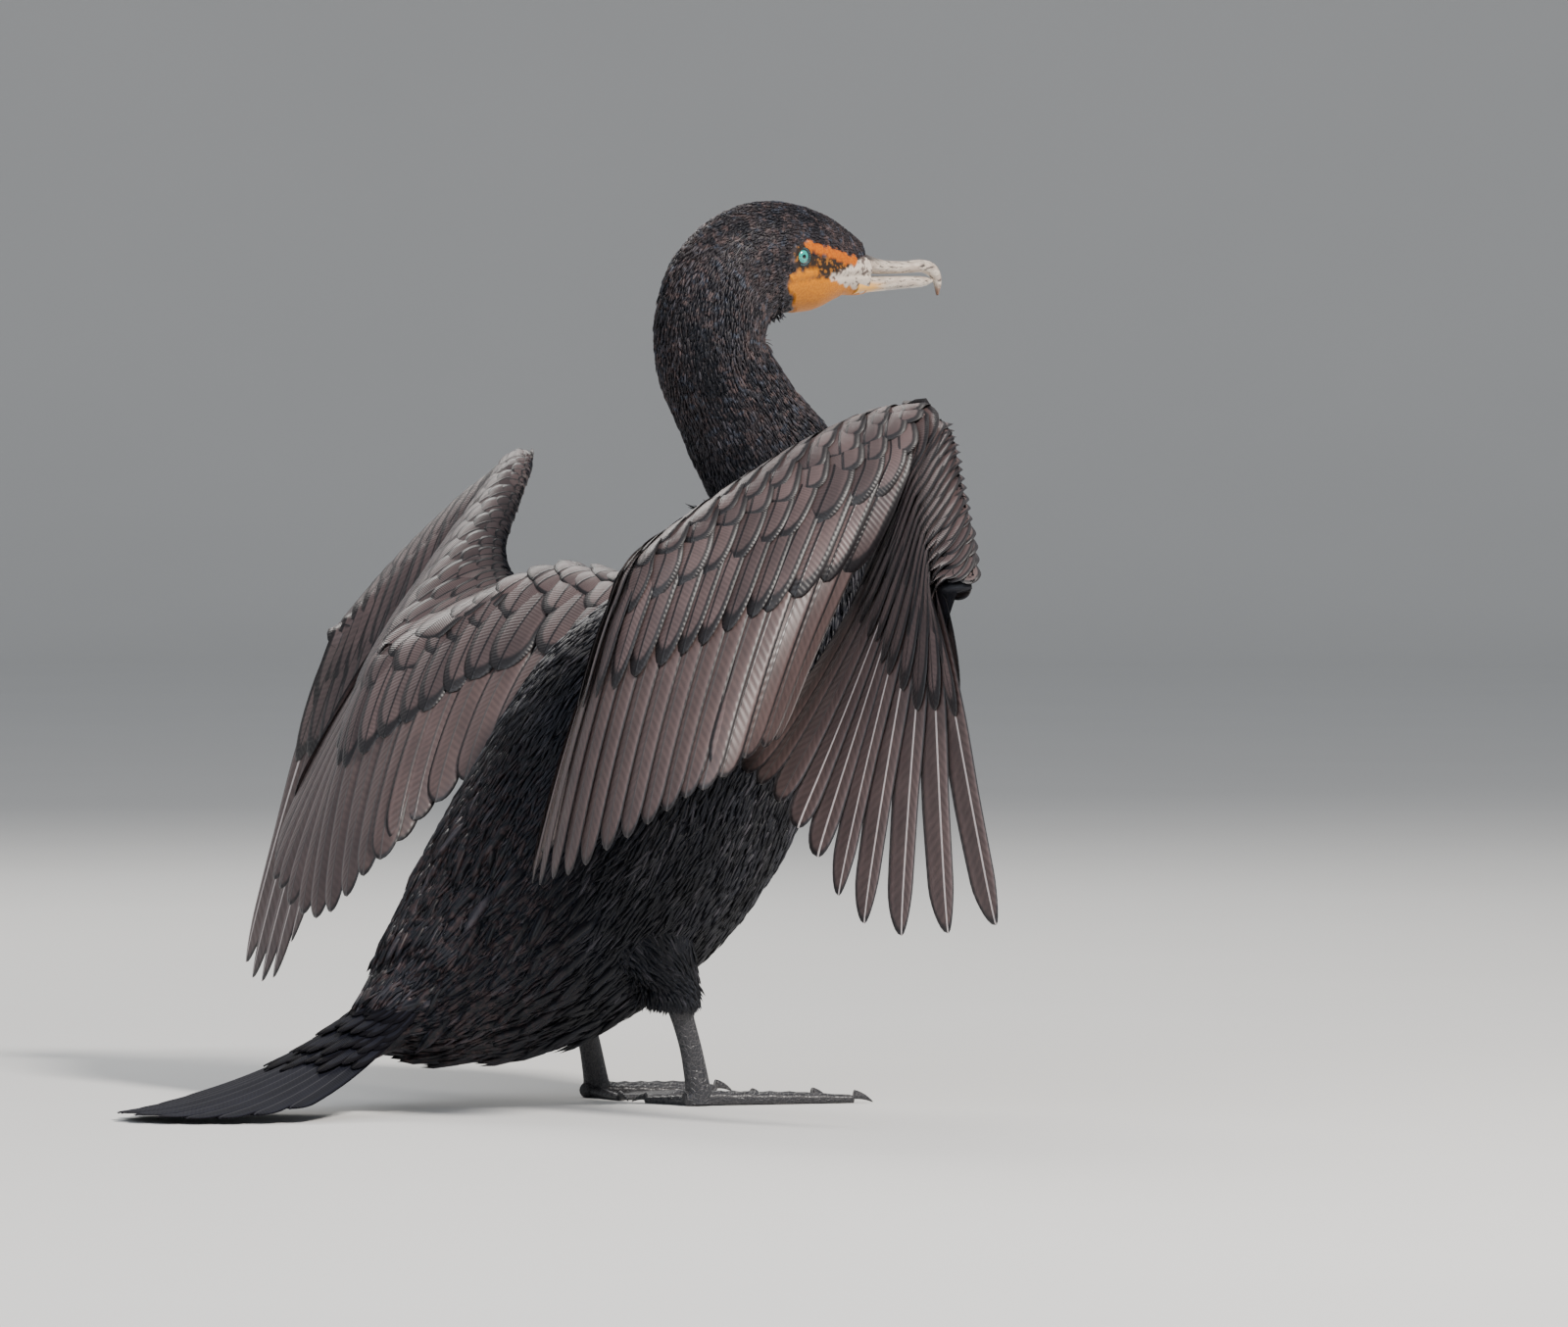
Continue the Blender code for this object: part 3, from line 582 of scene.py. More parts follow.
makeSkin()
coatRegion("coatHead", 10.0, 13.9, (0.0015, 0.0011), 0.0046, 0.0011, 0.20)
coatRegion("coatNeck", 7.2, 10.2, (0.0019, 0.0014), 0.0070, 0.0014, 0.22)
coatRegion("coatBreast", 4.4, 7.4, (0.0032, 0.0021), 0.0125, 0.0023, 0.20)
coatRegion("coatBody", 0.9, 4.6, (0.0034, 0.0020), 0.0170, 0.0021, 0.15)
coatRegion("coatRump", 0.0, 1.2, (0.0030, 0.0020), 0.0200, 0.0023, 0.18)
coatRegion("coatLong", 0.2, 2.3, (0.0130, 0.0085), 0.0300, 0.0058, 0.11)
print("skin and coat done")

# Wings: stations of leading edge, ridge of the arm, roots and tips of the flight feathers

wing = {
    "r": [
        (0.00, (0.046, 0.026, 0.272), (0.034, 0.028, 0.278), (0.022, 0.030, 0.272), (-0.040, 0.030, 0.196)),
        (0.10, (0.030, 0.080, 0.300), (0.000, 0.080, 0.300), (-0.026, 0.084, 0.284), (-0.084, 0.066, 0.158)),
        (0.20, (0.018, 0.094, 0.308), (-0.030, 0.090, 0.306), (-0.066, 0.100, 0.280), (-0.112, 0.076, 0.124)),
        (0.30, (0.012, 0.106, 0.314), (-0.046, 0.104, 0.308), (-0.072, 0.120, 0.284), (-0.122, 0.122, 0.127)),
        (0.42, (0.022, 0.124, 0.334), (-0.012, 0.126, 0.337), (-0.035, 0.141, 0.303), (-0.112, 0.178, 0.152)),
        (0.54, (0.042, 0.145, 0.354), (0.024, 0.147, 0.360), (0.004, 0.166, 0.323), (-0.086, 0.206, 0.178)),
        (0.64, (0.062, 0.166, 0.366), (0.052, 0.166, 0.368), (0.040, 0.188, 0.342), (-0.040, 0.194, 0.198)),
        (0.68, (0.068, 0.192, 0.358), (0.062, 0.194, 0.360), (0.047, 0.196, 0.337), (-0.036, 0.162, 0.182)),
        (0.78, (0.052, 0.224, 0.338), (0.048, 0.226, 0.338), (0.034, 0.220, 0.318), (-0.037, 0.206, 0.157)),
        (0.90, (0.034, 0.258, 0.310), (0.030, 0.260, 0.310), (0.019, 0.250, 0.297), (-0.038, 0.278, 0.104)),
        (1.00, (0.016, 0.290, 0.277), (0.013, 0.291, 0.277), (0.004, 0.276, 0.276), (-0.013, 0.362, 0.107)),
    ],
    "l": [
        (0.00, (0.046, 0.026, 0.268), (0.034, 0.028, 0.276), (0.022, 0.030, 0.268), (-0.040, 0.030, 0.196)),
        (0.10, (0.028, 0.080, 0.278), (0.014, 0.088, 0.280), (-0.004, 0.096, 0.266), (-0.082, 0.066, 0.156)),
        (0.20, (0.020, 0.098, 0.272), (0.000, 0.108, 0.274), (-0.032, 0.124, 0.247), (-0.111, 0.078, 0.124)),
        (0.30, (0.014, 0.120, 0.272), (-0.012, 0.138, 0.264), (-0.053, 0.155, 0.231), (-0.112, 0.128, 0.096)),
        (0.42, (0.020, 0.146, 0.290), (0.004, 0.154, 0.294), (-0.016, 0.172, 0.264), (-0.096, 0.196, 0.112)),
        (0.54, (0.046, 0.170, 0.318), (0.034, 0.172, 0.322), (0.019, 0.188, 0.296), (-0.070, 0.220, 0.146)),
        (0.64, (0.064, 0.186, 0.336), (0.056, 0.188, 0.338), (0.044, 0.200, 0.317), (-0.036, 0.206, 0.172)),
        (0.68, (0.067, 0.208, 0.334), (0.061, 0.210, 0.335), (0.048, 0.206, 0.312), (-0.038, 0.180, 0.152)),
        (0.78, (0.054, 0.240, 0.312), (0.050, 0.242, 0.312), (0.036, 0.232, 0.293), (-0.041, 0.222, 0.124)),
        (0.90, (0.036, 0.276, 0.277), (0.032, 0.278, 0.277), (0.021, 0.266, 0.264), (-0.030, 0.304, 0.052)),
        (1.00, (0.018, 0.304, 0.240), (0.014, 0.305, 0.240), (0.006, 0.290, 0.240), (-0.006, 0.368, 0.060)),
    ],
    "wrist": 0.66, "armBow": 0.014, "handBow": 0.006, "handDip": -0.030, "handRise": 0.18,
    "thickness": 0.0066, "profile": ([-1.0, -0.6, -0.25, 0.0, 0.12], [0.30, 1.0, 1.0, 0.8, 0.2]),
    "featherThickness": 0.00045,
}


def wingSurface(key, share, chord):
    # chord is -1 on the leading edge, 0 at the roots and 1 at the tips
    share, chord = np.broadcast_arrays(np.asarray(share, float), np.asarray(chord, float))
    keys = [row[0] for row in wing[key]]
    flat = [[number for point in row[1:] for number in point] for row in wing[key]]
    numbers = curveRows(flat, np.interp(share, keys, np.arange(len(keys))))
    lead, ridge, root, tip = (numbers[..., i:i + 3] * np.array([1, sides[key], 1]) for i in range(0, 12, 3))
    rise = np.minimum(wing["handDip"] + (share - wing["wrist"]) * wing["handRise"], wing["handBow"])
    rise = np.where(share > wing["wrist"], rise, wing["armBow"])
    bow = np.array([-0.69, 0.33 * sides[key], 0.64]) * rise[..., None]
    c = np.clip(chord, 0, None)[..., None]
    middle = (root + tip) / 2 + bow
    ahead = (root + (middle - root) * c) * (1 - c) + (middle + (tip - middle) * c) * c
    b = np.clip(-chord, 0, None)[..., None]
    behind = (root + (ridge - root) * b) * (1 - b) + (ridge + (lead - ridge) * b) * b
    return np.where(chord[..., None] >= 0, ahead, behind)


def wingFrame(key, share, chord):
    # a point of the wing, its directions out along the wing and back along a feather, and its upper side
    point = wingSurface(key, share, chord)
    low, high = np.maximum(chord - 0.02, -1.0), np.minimum(chord + 0.02, 1.06)
    back = unit(wingSurface(key, share, high) - wingSurface(key, share, low))
    # the hand starts anew at the wrist, so its feathers don't look back past it
    isHand = share > wing["wrist"]
    before = np.where(isHand, np.maximum(share - 0.02, 0.68), np.maximum(share - 0.02, 0.0))
    after = np.where(isHand, np.minimum(np.maximum(share + 0.02, 0.75), 1.0), np.minimum(share + 0.02, 0.64))
    before = np.minimum(before, after - 0.02)
    out = wingSurface(key, after, chord) - wingSurface(key, before, chord)
    out = unit(out - back * (out * back).sum(-1, keepdims=True))
    return point, out, back, unit(np.cross(out, back) * sides[key])


def shellTemplate(across, along):
    # a thin closed grid, modelled once and bent into every feather: (across, along, upper or lower)
    bpy.ops.object.select_all(action="DESELECT")
    bpy.ops.mesh.primitive_grid_add(x_subdivisions=across, y_subdivisions=along, size=2.0)
    start = bpy.context.object
    solid = start.modifiers.new("thickness", "SOLIDIFY")
    solid.thickness = 0.5
    solid.offset = 0.0
    bpy.ops.object.modifier_apply(modifier="thickness")
    points = np.empty(len(start.data.vertices) * 3)
    start.data.vertices.foreach_get("co", points)
    faces = [tuple(face.vertices) for face in start.data.polygons]
    bpy.data.objects.remove(start)
    points = points.reshape(-1, 3)
    forward = 1 - (1 - (points[:, 1] + 1) / 2) ** 1.5  # closer rows where the tip rounds off
    return points[:, 0], forward, np.sign(points[:, 2]), faces


templates = {"flight": shellTemplate(6, 26), "covert": shellTemplate(6, 12)}
# stations, outer and inner width there, and where the rounded tip begins
covertShape = ([0, 0.25, 0.55, 1.0], [0.55, 0.85, 1.0, 1.0], [0.55, 0.85, 1.0, 1.0], 0.70)
flightShape = ([0, 0.15, 0.5, 0.85, 1.0], [0.55, 0.85, 1.0, 1.0, 0.95], [0.55, 0.9, 1.0, 1.0, 0.95], 0.88)
primaryShape = ([0, 0.15, 0.45, 0.65, 0.88, 1.0], [0.7, 0.9, 1.0, 0.80, 0.78, 0.6],
                [0.6, 0.9, 1.0, 0.95, 0.80, 0.6], 0.86)


def featherPoints(kind, line, outDirs, upDirs, stations, widths, shape, camber, thick, roll):
    # line, outDirs and upDirs are given at the stations, 0 at the root; widths are outer and inner
    a, t, s, faces = templates[kind]

    def read(rows):
        return np.stack([np.interp(t, stations, rows[:, i]) for i in range(3)], -1)

    middle, out, up = read(line), unit(read(outDirs)), unit(read(upDirs))
    stops, outerShare, innerShare, start = shape
    tipRound = np.sqrt(np.clip(1 - (np.clip(t - start, 0, 1) / (1 - start)) ** 2, 0.0015, 1))
    outer = np.interp(t, stops, outerShare) * widths[0] * tipRound
    inner = np.interp(t, stops, innerShare) * widths[1] * tipRound
    reach = np.where(a > 0, a * outer, a * inner)
    tilted = out * np.cos(roll) + up * np.sin(roll)
    raised = up * np.cos(roll) - out * np.sin(roll)
    lift = camber * (outer + inner) * 0.5 * (1 - a * a) + s * thick * (1 - 0.92 * np.abs(a)) * 0.5
    lift = lift + (np.abs(a) < 0.1) * s * thick * 0.5 * (1 - 0.6 * t)  # the shaft stands a little proud
    points = middle + tilted * reach[:, None] + raised * lift[:, None]
    return points, faces, np.stack([0.5 + 0.5 * a * tipRound, t], -1)


# first and last share along the wing, count, width factor, path of (chord, height), camber
armRows = {
    "secondaries": (0.002, 0.640, 22, 1.00, ((-0.04, 0.0000), (0.48, 0.0000), (1.00, 0.0000)), 0.10),
    "greater": (0.004, 0.645, 21, 0.92, ((-0.16, 0.0020), (0.14, 0.0032), (0.44, 0.0018)), 0.12),
    "median": (0.018, 0.640, 18, 0.96, ((-0.30, 0.0036), (-0.05, 0.0044), (0.16, 0.0036)), 0.12),
    "lesser4": (0.002, 0.648, 18, 1.00, ((-0.42, 0.0044), (-0.20, 0.0052), (0.00, 0.0050)), 0.12),
    "lesser3": (0.020, 0.640, 17, 1.00, ((-0.58, 0.0046), (-0.36, 0.0056), (-0.15, 0.0056)), 0.12),
    "lesser2": (0.002, 0.650, 18, 1.00, ((-0.72, 0.0042), (-0.54, 0.0056), (-0.32, 0.0060)), 0.12),
    "lesser1": (0.020, 0.644, 19, 1.00, ((-0.86, 0.0028), (-0.70, 0.0052), (-0.49, 0.0062)), 0.12),
    "marginal2": (0.004, 0.650, 24, 1.00, ((-0.95, 0.0014), (-0.84, 0.0040), (-0.66, 0.0060)), 0.12),
    "marginal1": (0.016, 0.646, 32, 1.00, ((-1.00, 0.0000), (-0.94, 0.0026), (-0.82, 0.0050)), 0.12),
}
handRows = {
    "primaries": (0.690, 0.992, 10, 1.00, ((-0.04, 0.0000), (0.48, 0.0000), (1.00, 0.0000)), 0.08),
    "primary coverts": (0.680, 0.990, 11, 1.00, ((-0.14, 0.0016), (0.12, 0.0026), (0.40, 0.0018)), 0.08),
    "hand median": (0.660, 0.960, 13, 1.00, ((-0.45, 0.0026), (-0.10, 0.0034), (0.24, 0.0028)), 0.08),
    "hand lesser2": (0.645, 0.950, 13, 1.00, ((-0.70, 0.0030), (-0.40, 0.0038), (0.02, 0.0038)), 0.08),
    "hand lesser1": (0.640, 0.945, 14, 1.00, ((-0.88, 0.0020), (-0.64, 0.0036), (-0.26, 0.0042)), 0.08),
    "hand marginal": (0.640, 0.950, 16, 1.00, ((-1.00, 0.0000), (-0.90, 0.0020), (-0.60, 0.0040)), 0.06),
}
underRows = {
    "under greater": (0.010, 0.990, 38, 0.95, ((-0.10, 0.0012), (0.12, 0.0022), (0.36, 0.0012)), 0.12),
    "under median": (0.005, 0.990, 42, 0.95, ((-0.45, 0.0024), (-0.16, 0.0036), (0.12, 0.0030)), 0.14),
    "under lesser": (0.005, 0.990, 46, 0.95, ((-0.92, 0.0014), (-0.60, 0.0040), (-0.18, 0.0046)), 0.14),
}
# how far out along the wing the feathers of a row of the hand run, root to tip
slants = {"hand median": 0.035, "hand lesser2": 0.045, "hand lesser1": 0.050, "hand marginal": 0.050}


def featherWidths(name, share, typical):
    if name == "primaries":
        outer = 0.0082 * (1 - 0.15 * smooth(0.85, 1.0, share))
        return (outer, 0.0155), primaryShape if share > 0.85 else flightShape
    if name == "secondaries":
        return (0.0080, 0.0104), flightShape
    return (min(typical * 0.66, 0.0120), min(typical * 0.86, 0.0150)), covertShape


def featherTone(name, share, shape):
    if name in ("secondaries", "primaries"):
        # the outer primaries get the full painted highlight on their shafts, the others a tenth of it
        hasShaftHighlight = name == "primaries" and share > 0.78
        return draw.uniform(0.2, 0.9), draw.uniform(0.55, 1.0), 1.0 if hasShaftHighlight else 0.10, shape[3]
    return draw.uniform(0.1, 0.95), draw.uniform(0.0, 0.35), 0.0, shape[3]


def makeRow(key, name, row, flip=1.0):
    first, last, count, size, path, camber = row
    spacing = (last - first) / (count - 1)
    isFlight = name in ("secondaries", "primaries")
    stations = np.linspace(0, 1, 15 if isFlight else 7)
    made = []
    for index in range(count):
        share = first + spacing * index
        longer = 1 + draw.uniform(-0.015, 0.015) * (1 if isFlight else 1.6)
        rows = curveRows(path, 2 * stations)
        chord, height = rows[:, 0], rows[:, 1]
        chord = np.minimum(chord[0] + (chord - chord[0]) * longer, 1.0)
        drift = 0.0 if isFlight else draw.normal(0, 0.10) * spacing
        shares = np.clip(share + (drift + slants.get(name, 0.0)) * stations, 0, 1)
        point, out, _, up = wingFrame(key, shares, chord)
        before, after = (wingSurface(key, np.clip(shares + half, 0, 1), chord) for half in (-spacing / 2, spacing / 2))
        gap = np.maximum(np.linalg.norm(after - before, axis=-1), 0.0035)
        typical = float(np.median(gap)) * size
        roll = math.atan2(0.0011, max(typical, 0.004)) * (1.6 if isFlight else 2.0)
        widths, shape = featherWidths(name, share, typical)
        up = up * flip
        line = point + up * height[:, None]
        tangent = unit(np.gradient(line, axis=0))
        out = unit(out - tangent * (out * tangent).sum(-1, keepdims=True))
        kind = "flight" if isFlight else "covert"
        shaped = featherPoints(kind, line, out, up, stations, widths, shape, camber, wing["featherThickness"], roll)
        made.append((*shaped, featherTone(name, share, shape)))
    return made


def joinFeathers(name, feathers, material):
    # every feather keeps its own cell on the baking map
    cells = math.ceil(math.sqrt(len(feathers)))
    points, faces = joined([(pts, quads) for pts, quads, _, _ in feathers])
    bake = [(np.array([i % cells, i // cells]) + 0.04 + 0.92 * uv) / cells for i, (_, _, uv, _) in enumerate(feathers)]
    vane = np.vstack([uv for _, _, uv, _ in feathers])
    tones = np.vstack([np.tile(tone, (len(pts), 1)) for pts, _, _, tone in feathers])
    piece = addPiece(name, points, faces, material, {"Vane": vane, "OFBake": np.vstack(bake)}, tones)
    turnOut(piece)
    return piece


def makeWingCore(key):
    # the fleshy arm and hand under the coverts
    fine = np.linspace(-1.0, 0.12, 22)
    rings = []
    for share in np.linspace(0.0, 1.0, 70):
        point, _, _, up = wingFrame(key, np.full(len(fine), share), fine)
        half = np.interp(fine, *wing["profile"])[:, None] * wing["thickness"] * 0.5
        half = half * (1 - 0.45 * smooth(0.92, 1.0, share))
        rings.append(np.vstack([point + up * half, (point - up * half)[::-1]]))
    points, faces = tube(rings)
    piece = addPiece("wingArm_" + key, points, faces, skinMaterial, None, np.zeros((len(points), 4)))
    turnOut(piece)


def edgeFringe(key):
    # short pale-tipped down along the leading edge
    count = 3600
    share = draw.uniform(0.03, 0.99, count)
    chord = -1 + 0.12 * draw.random(count) ** 1.6
    point, out, back, up = wingFrame(key, share, chord)
    face = np.where(draw.random(count) > 0.42, 1.0, -1.0)[:, None]
    half = np.interp(chord, *wing["profile"])[:, None] * wing["thickness"] * 0.5
    root = point + up * face * half * 0.9 - back * 0.0006
    normal = unit(up * face - back * (0.9 * smooth(-0.85, -1.0, chord))[:, None])
    tones = bladeTones(count, 0.62, 0.9)
    spots = np.stack([share, 0.5 + 0.4 * chord * face[:, 0]], -1)
    blades("edgeDown_" + key, root, normal, back + out * 0.25, draw.uniform(0.003, 0.0060, count),
           draw.uniform(0.0010, 0.0016, count), draw.uniform(0.05, 0.2, count), spots, tones)


for key in sides:
    upper = []
    for name, row in {**armRows, **handRows}.items():
        upper += makeRow(key, name, row)
    piece = joinFeathers("wingFeathers_" + key, upper, wingMaterial)
    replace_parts(piece, "wing_%s_inner" % key, "wing_%s_hand" % key)
    under = []
    for name, row in underRows.items():
        under += makeRow(key, name, row, -1.0)
    joinFeathers("underFeathers_" + key, under, underMaterial)
    makeWingCore(key)
    edgeFringe(key)
print("wings done")

# Tail: twelve stiff feathers laid along the floor, and rings of coverts over their roots

tail = {
    "root": (-0.150, 0.050), "length": 0.170, "run": 0.157, "fan": 24.0, "covertFan": 27.0, "count": 12,
    "shortest": 0.66, "stack": 0.0007, "spread": 0.015, "lift": 0.0008, "width": 0.0092, "covertWidth": 0.0066,
    "thickness": 0.0007, "shape": ([0, 0.2, 0.6, 1.0], [0.5, 0.8, 0.97, 1.0], [0.5, 0.8, 0.97, 1.0], 0.92),
    # count, reach, spread at the roots, height over the tail
    "rings": ((11, 0.076, 0.017, 0.0052), (13, 0.056, 0.019, 0.0078),
              (15, 0.040, 0.020, 0.0105), (15, 0.026, 0.020, 0.0125)),
    "core": [(-0.148, 0.0510, 0.0175, 0.0215), (-0.160, 0.0440, 0.0130, 0.0200), (-0.172, 0.0350, 0.0085, 0.0180),
             (-0.184, 0.0275, 0.0050, 0.0155), (-0.192, 0.0232, 0.0020, 0.0120)],
}


def tailLine(distance, turn, out, lift):
    rootX, rootZ = tail["root"]
    ease = np.clip(distance / tail["run"], 0.0, 1.0)
    reach = distance * (0.90 + 0.06 * distance / tail["length"])
    angle = math.radians(turn)
    return np.stack([rootX - reach * math.cos(angle), out * (1 - 0.6 * ease) + reach * math.sin(angle),
                     rootZ * (1 - ease) ** 1.62 + lift], -1)


def tailFeather(turn, out, lift, start, length, width, kind, shape, shade):
    stations = np.linspace(0, 1, 13)
    distance = start + (length - start) * stations
    line = tailLine(distance, turn, out, lift)
    back = unit(tailLine(distance + 0.003, turn, out, lift) - line)
    across = unit(np.cross(np.array([0.0, 0, 1.0]), back))
    shaped = featherPoints(kind, line, across, np.cross(back, across), stations, (width, width), shape, 0.10,
                           tail["thickness"], 0.0)
    return (*shaped, (*shade, shape[3]))


def makeTail():
    feathers = []
    half = (tail["count"] - 1) / 2
    for index in range(tail["count"]):
        place = (index - half) / half
        lift = tail["lift"] + tail["stack"] * (half - abs(index - half)) + (0.5 * tail["stack"] if place > 0 else 0.0)
        length = tail["length"] * (1 - (1 - tail["shortest"]) * abs(place) ** 1.8)
        feathers.append(tailFeather(tail["fan"] * place, tail["spread"] * place, lift, 0.004, length, tail["width"],
                                    "flight", tail["shape"], (draw.uniform(0, 1), 0.3, 0.8)))
    for count, reach, spreadOut, top in tail["rings"]:
        for index in range(count):
            place = (index - (count - 1) / 2) / ((count - 1) / 2)
            lift = tail["lift"] + top * (1 - 0.75 * place * place) + draw.uniform(0, 0.0008)
            length = reach * (1 - 0.2 * abs(place)) * draw.uniform(0.85, 1.12)
            feathers.append(tailFeather(tail["covertFan"] * place, spreadOut * place, lift, -0.006, length,
                                        tail["covertWidth"], "covert", covertShape, (draw.uniform(0, 1), 0.0, 0.0)))
    joinFeathers("tailFeathers", feathers, tailMaterial)


def makeTailCore():
    angle = circle(28)
    rings = []
    for x, z, deep, wide in curveRows(tail["core"], np.linspace(0, 4, 17)):
        rings.append(np.stack([x - 0.45 * deep * np.sin(angle), wide * np.cos(angle), z + deep * np.sin(angle)], -1))
    points, faces = tube(rings)
    piece = addPiece("tailRoot", points, faces, skinMaterial, None, np.zeros((len(points), 4)))
    turnOut(piece)
    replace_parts(piece, "tail")


makeTail()
makeTailCore()
print("tail done")

# Bill: forward, height, half depth, half width

bill = {
    "upper": [
        (0.1440, 0.4448, 0.0066, 0.0104), (0.1523, 0.4450, 0.0058, 0.0089), (0.1640, 0.4434, 0.0042, 0.0065),
        (0.1790, 0.4432, 0.0035, 0.0049), (0.1920, 0.4439, 0.0037, 0.0042), (0.1990, 0.4415, 0.0038, 0.0036),
        (0.2022, 0.4360, 0.0028, 0.0026), (0.2025, 0.4285, 0.0007, 0.0008),
    ],
    "lower": [
        (0.1440, 0.4340, 0.0054, 0.0098), (0.1523, 0.4346, 0.0049, 0.0080), (0.1640, 0.4351, 0.0044, 0.0060),
        (0.1790, 0.4357, 0.0037, 0.0045), (0.1920, 0.4361, 0.0030, 0.0034), (0.1985, 0.4366, 0.0012, 0.0018),
    ],
    "flat": 0.86, "baseX": 0.152, "hookX": 0.1975,
    "pale": ((0.62, 0.54, 0.45), (0.42, 0.34, 0.28)), "streak": (0.085, 0.070, 0.064),
    "ridge": (0.045, 0.035, 0.030), "yellow": (0.86, 0.42, 0.05), "nail": (0.16, 0.085, 0.055),
}


def hornMaterial():
    made, n, surface = newMaterial("billHorn", 0.34, 0.5, **{"Coat Weight": 0.35, "Coat Roughness": 0.18})
    where = n.where()
    stretch = n.new("Mapping", Vector=where)
    stretch.inputs["Scale"].default_value = (0.35, 1.0, 1.0)
    x, _, height = n.axes(where)
    streaks = n.noise(stretch.outputs[0], 620.0, 4.0, 0.65)
    colour = n.mix(n.step(n.noise(stretch.outputs[0], 260.0), 0.38, 0.62), *bill["pale"])
    colour = n.mix(n.step(streaks, 0.52, 0.66), colour, bill["streak"])
    baseX, hookX = shift[0] + bill["baseX"], shift[0] + bill["hookX"]
    base = n.fall(x, baseX, baseX + 0.016)
    colour = n.mix(n.mul(base, n.step(height, 0.4452, 0.4482)), colour, bill["ridge"])
    colour = n.mix(n.mul(base, n.fall(height, 0.4325, 0.4370)), colour, bill["yellow"])
    hook = n.mul(n.step(x, hookX, hookX + 0.004), n.fall(height, 0.4300, 0.4360))
    n.put(surface.inputs["Base Color"], n.mix(hook, colour, bill["nail"]))
    n.bump(surface, streaks, 0.4, 0.0003)
    return made


horn = hornMaterial()


def makeBill(name, rows, isUpper):
    places = np.linspace(0, len(rows) - 1, 70)
    along = towardsFront(alongRows(rows, places, 0.05), 1 - smooth(0.0, 0.8, places))
    angle = circle(40)
    height, width = np.sin(angle), np.cos(angle)
    if isUpper:  # a raised ridge along the top with a groove beside it
        crest = bell(width, 0.30) * (height > 0)
        groove = bell(np.abs(width) - 0.55, 0.16) * (height > 0)
        height = np.where(height < 0, height * bill["flat"], height * 0.93) + 0.10 * crest - 0.10 * groove
    else:
        height = np.where(height > 0, height * bill["flat"], height)
    rings = []
    for (x, z, deep, wide), up in zip(curveRows(rows, places), upFrom(along)):
        rings.append(np.array([x, 0.0, z]) + np.outer(width * wide, [0, 1.0, 0]) + np.outer(height * deep, up))
    piece = addPiece(name, *tube(rings), horn)
    turnOut(piece)
    return piece


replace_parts(makeBill("billUpper", bill["upper"], True), "bill_upper")
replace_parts(makeBill("billLower", bill["lower"], False), "bill_lower")

# Eyes and their beaded lids

eye = {
    "radius": 0.0056, "iris": 0.0036, "lidRadius": 0.0042, "lidThick": 0.00095, "lidTall": 1.06,
    "beads": 26, "beadSize": 0.00036,
    "irisColours": ((0.0, 0.22, 0.19), (0.008, 0.44, 0.35)), "pupil": (0.002, 0.002, 0.002), "rim": (0.004, 0.010, 0.012),
    "lidColours": ((0.012, 0.014, 0.018), (0.10, 0.42, 0.42)),
}


def eyeMaterial():
    made, n, surface = newMaterial("eyeBall", 0.10, 0.6, **{"Coat Weight": 1.0, "Coat Roughness": 0.02})
    radius = n.tone()[0]
    iris = n.mix(n.step(n.noise(n.where(), 1500.0), 0.35, 0.65), *eye["irisColours"])
    colour = n.mix(n.step(radius, 0.30, 0.36), eye["pupil"], iris)
    n.put(surface.inputs["Base Color"], n.mix(n.step(radius, 0.90, 1.02), colour, eye["rim"]))
    return made


def lidMaterial():
    made, n, surface = newMaterial("eyeLid", 0.45)
    n.put(surface.inputs["Base Color"], n.mix(n.tone()[0], *eye["lidColours"]))
    n.bump(surface, n.noise(n.where(), 1600.0), 0.4, 0.0002)
    return made


eyeSurface, lidSurface = eyeMaterial(), lidMaterial()


def ballPoints(radius, around=40, levels=26):
    turn = circle(around)
    rings = []
    for level in range(levels + 1):
        polar = math.pi * (0.002 + 0.996 * level / levels)
        ring = radius * math.sin(polar)
        rings.append(np.stack([ring * np.cos(turn), np.full(around, radius * math.cos(polar)), ring * np.sin(turn)], -1))
    return tube(rings)


def makeEye(key):
    side = sides[key]
    centre = np.array([eyePlace[0], side * eyePlace[1], eyePlace[2]])
    points, faces = ballPoints(eye["radius"])
    front = np.hypot(points[:, 0], points[:, 2]) / eye["iris"]
    front = np.where(points[:, 1] > 0, front, 3.0)
    tones = np.stack([front, front, front, np.ones(len(front))], -1)
    ball = addPiece("eyeBall_" + key, points * np.array([1.0, side, 1.0]) + centre, faces, eyeSurface, None, tones)
    turnOut(ball)
    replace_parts(ball, "eye_" + key)


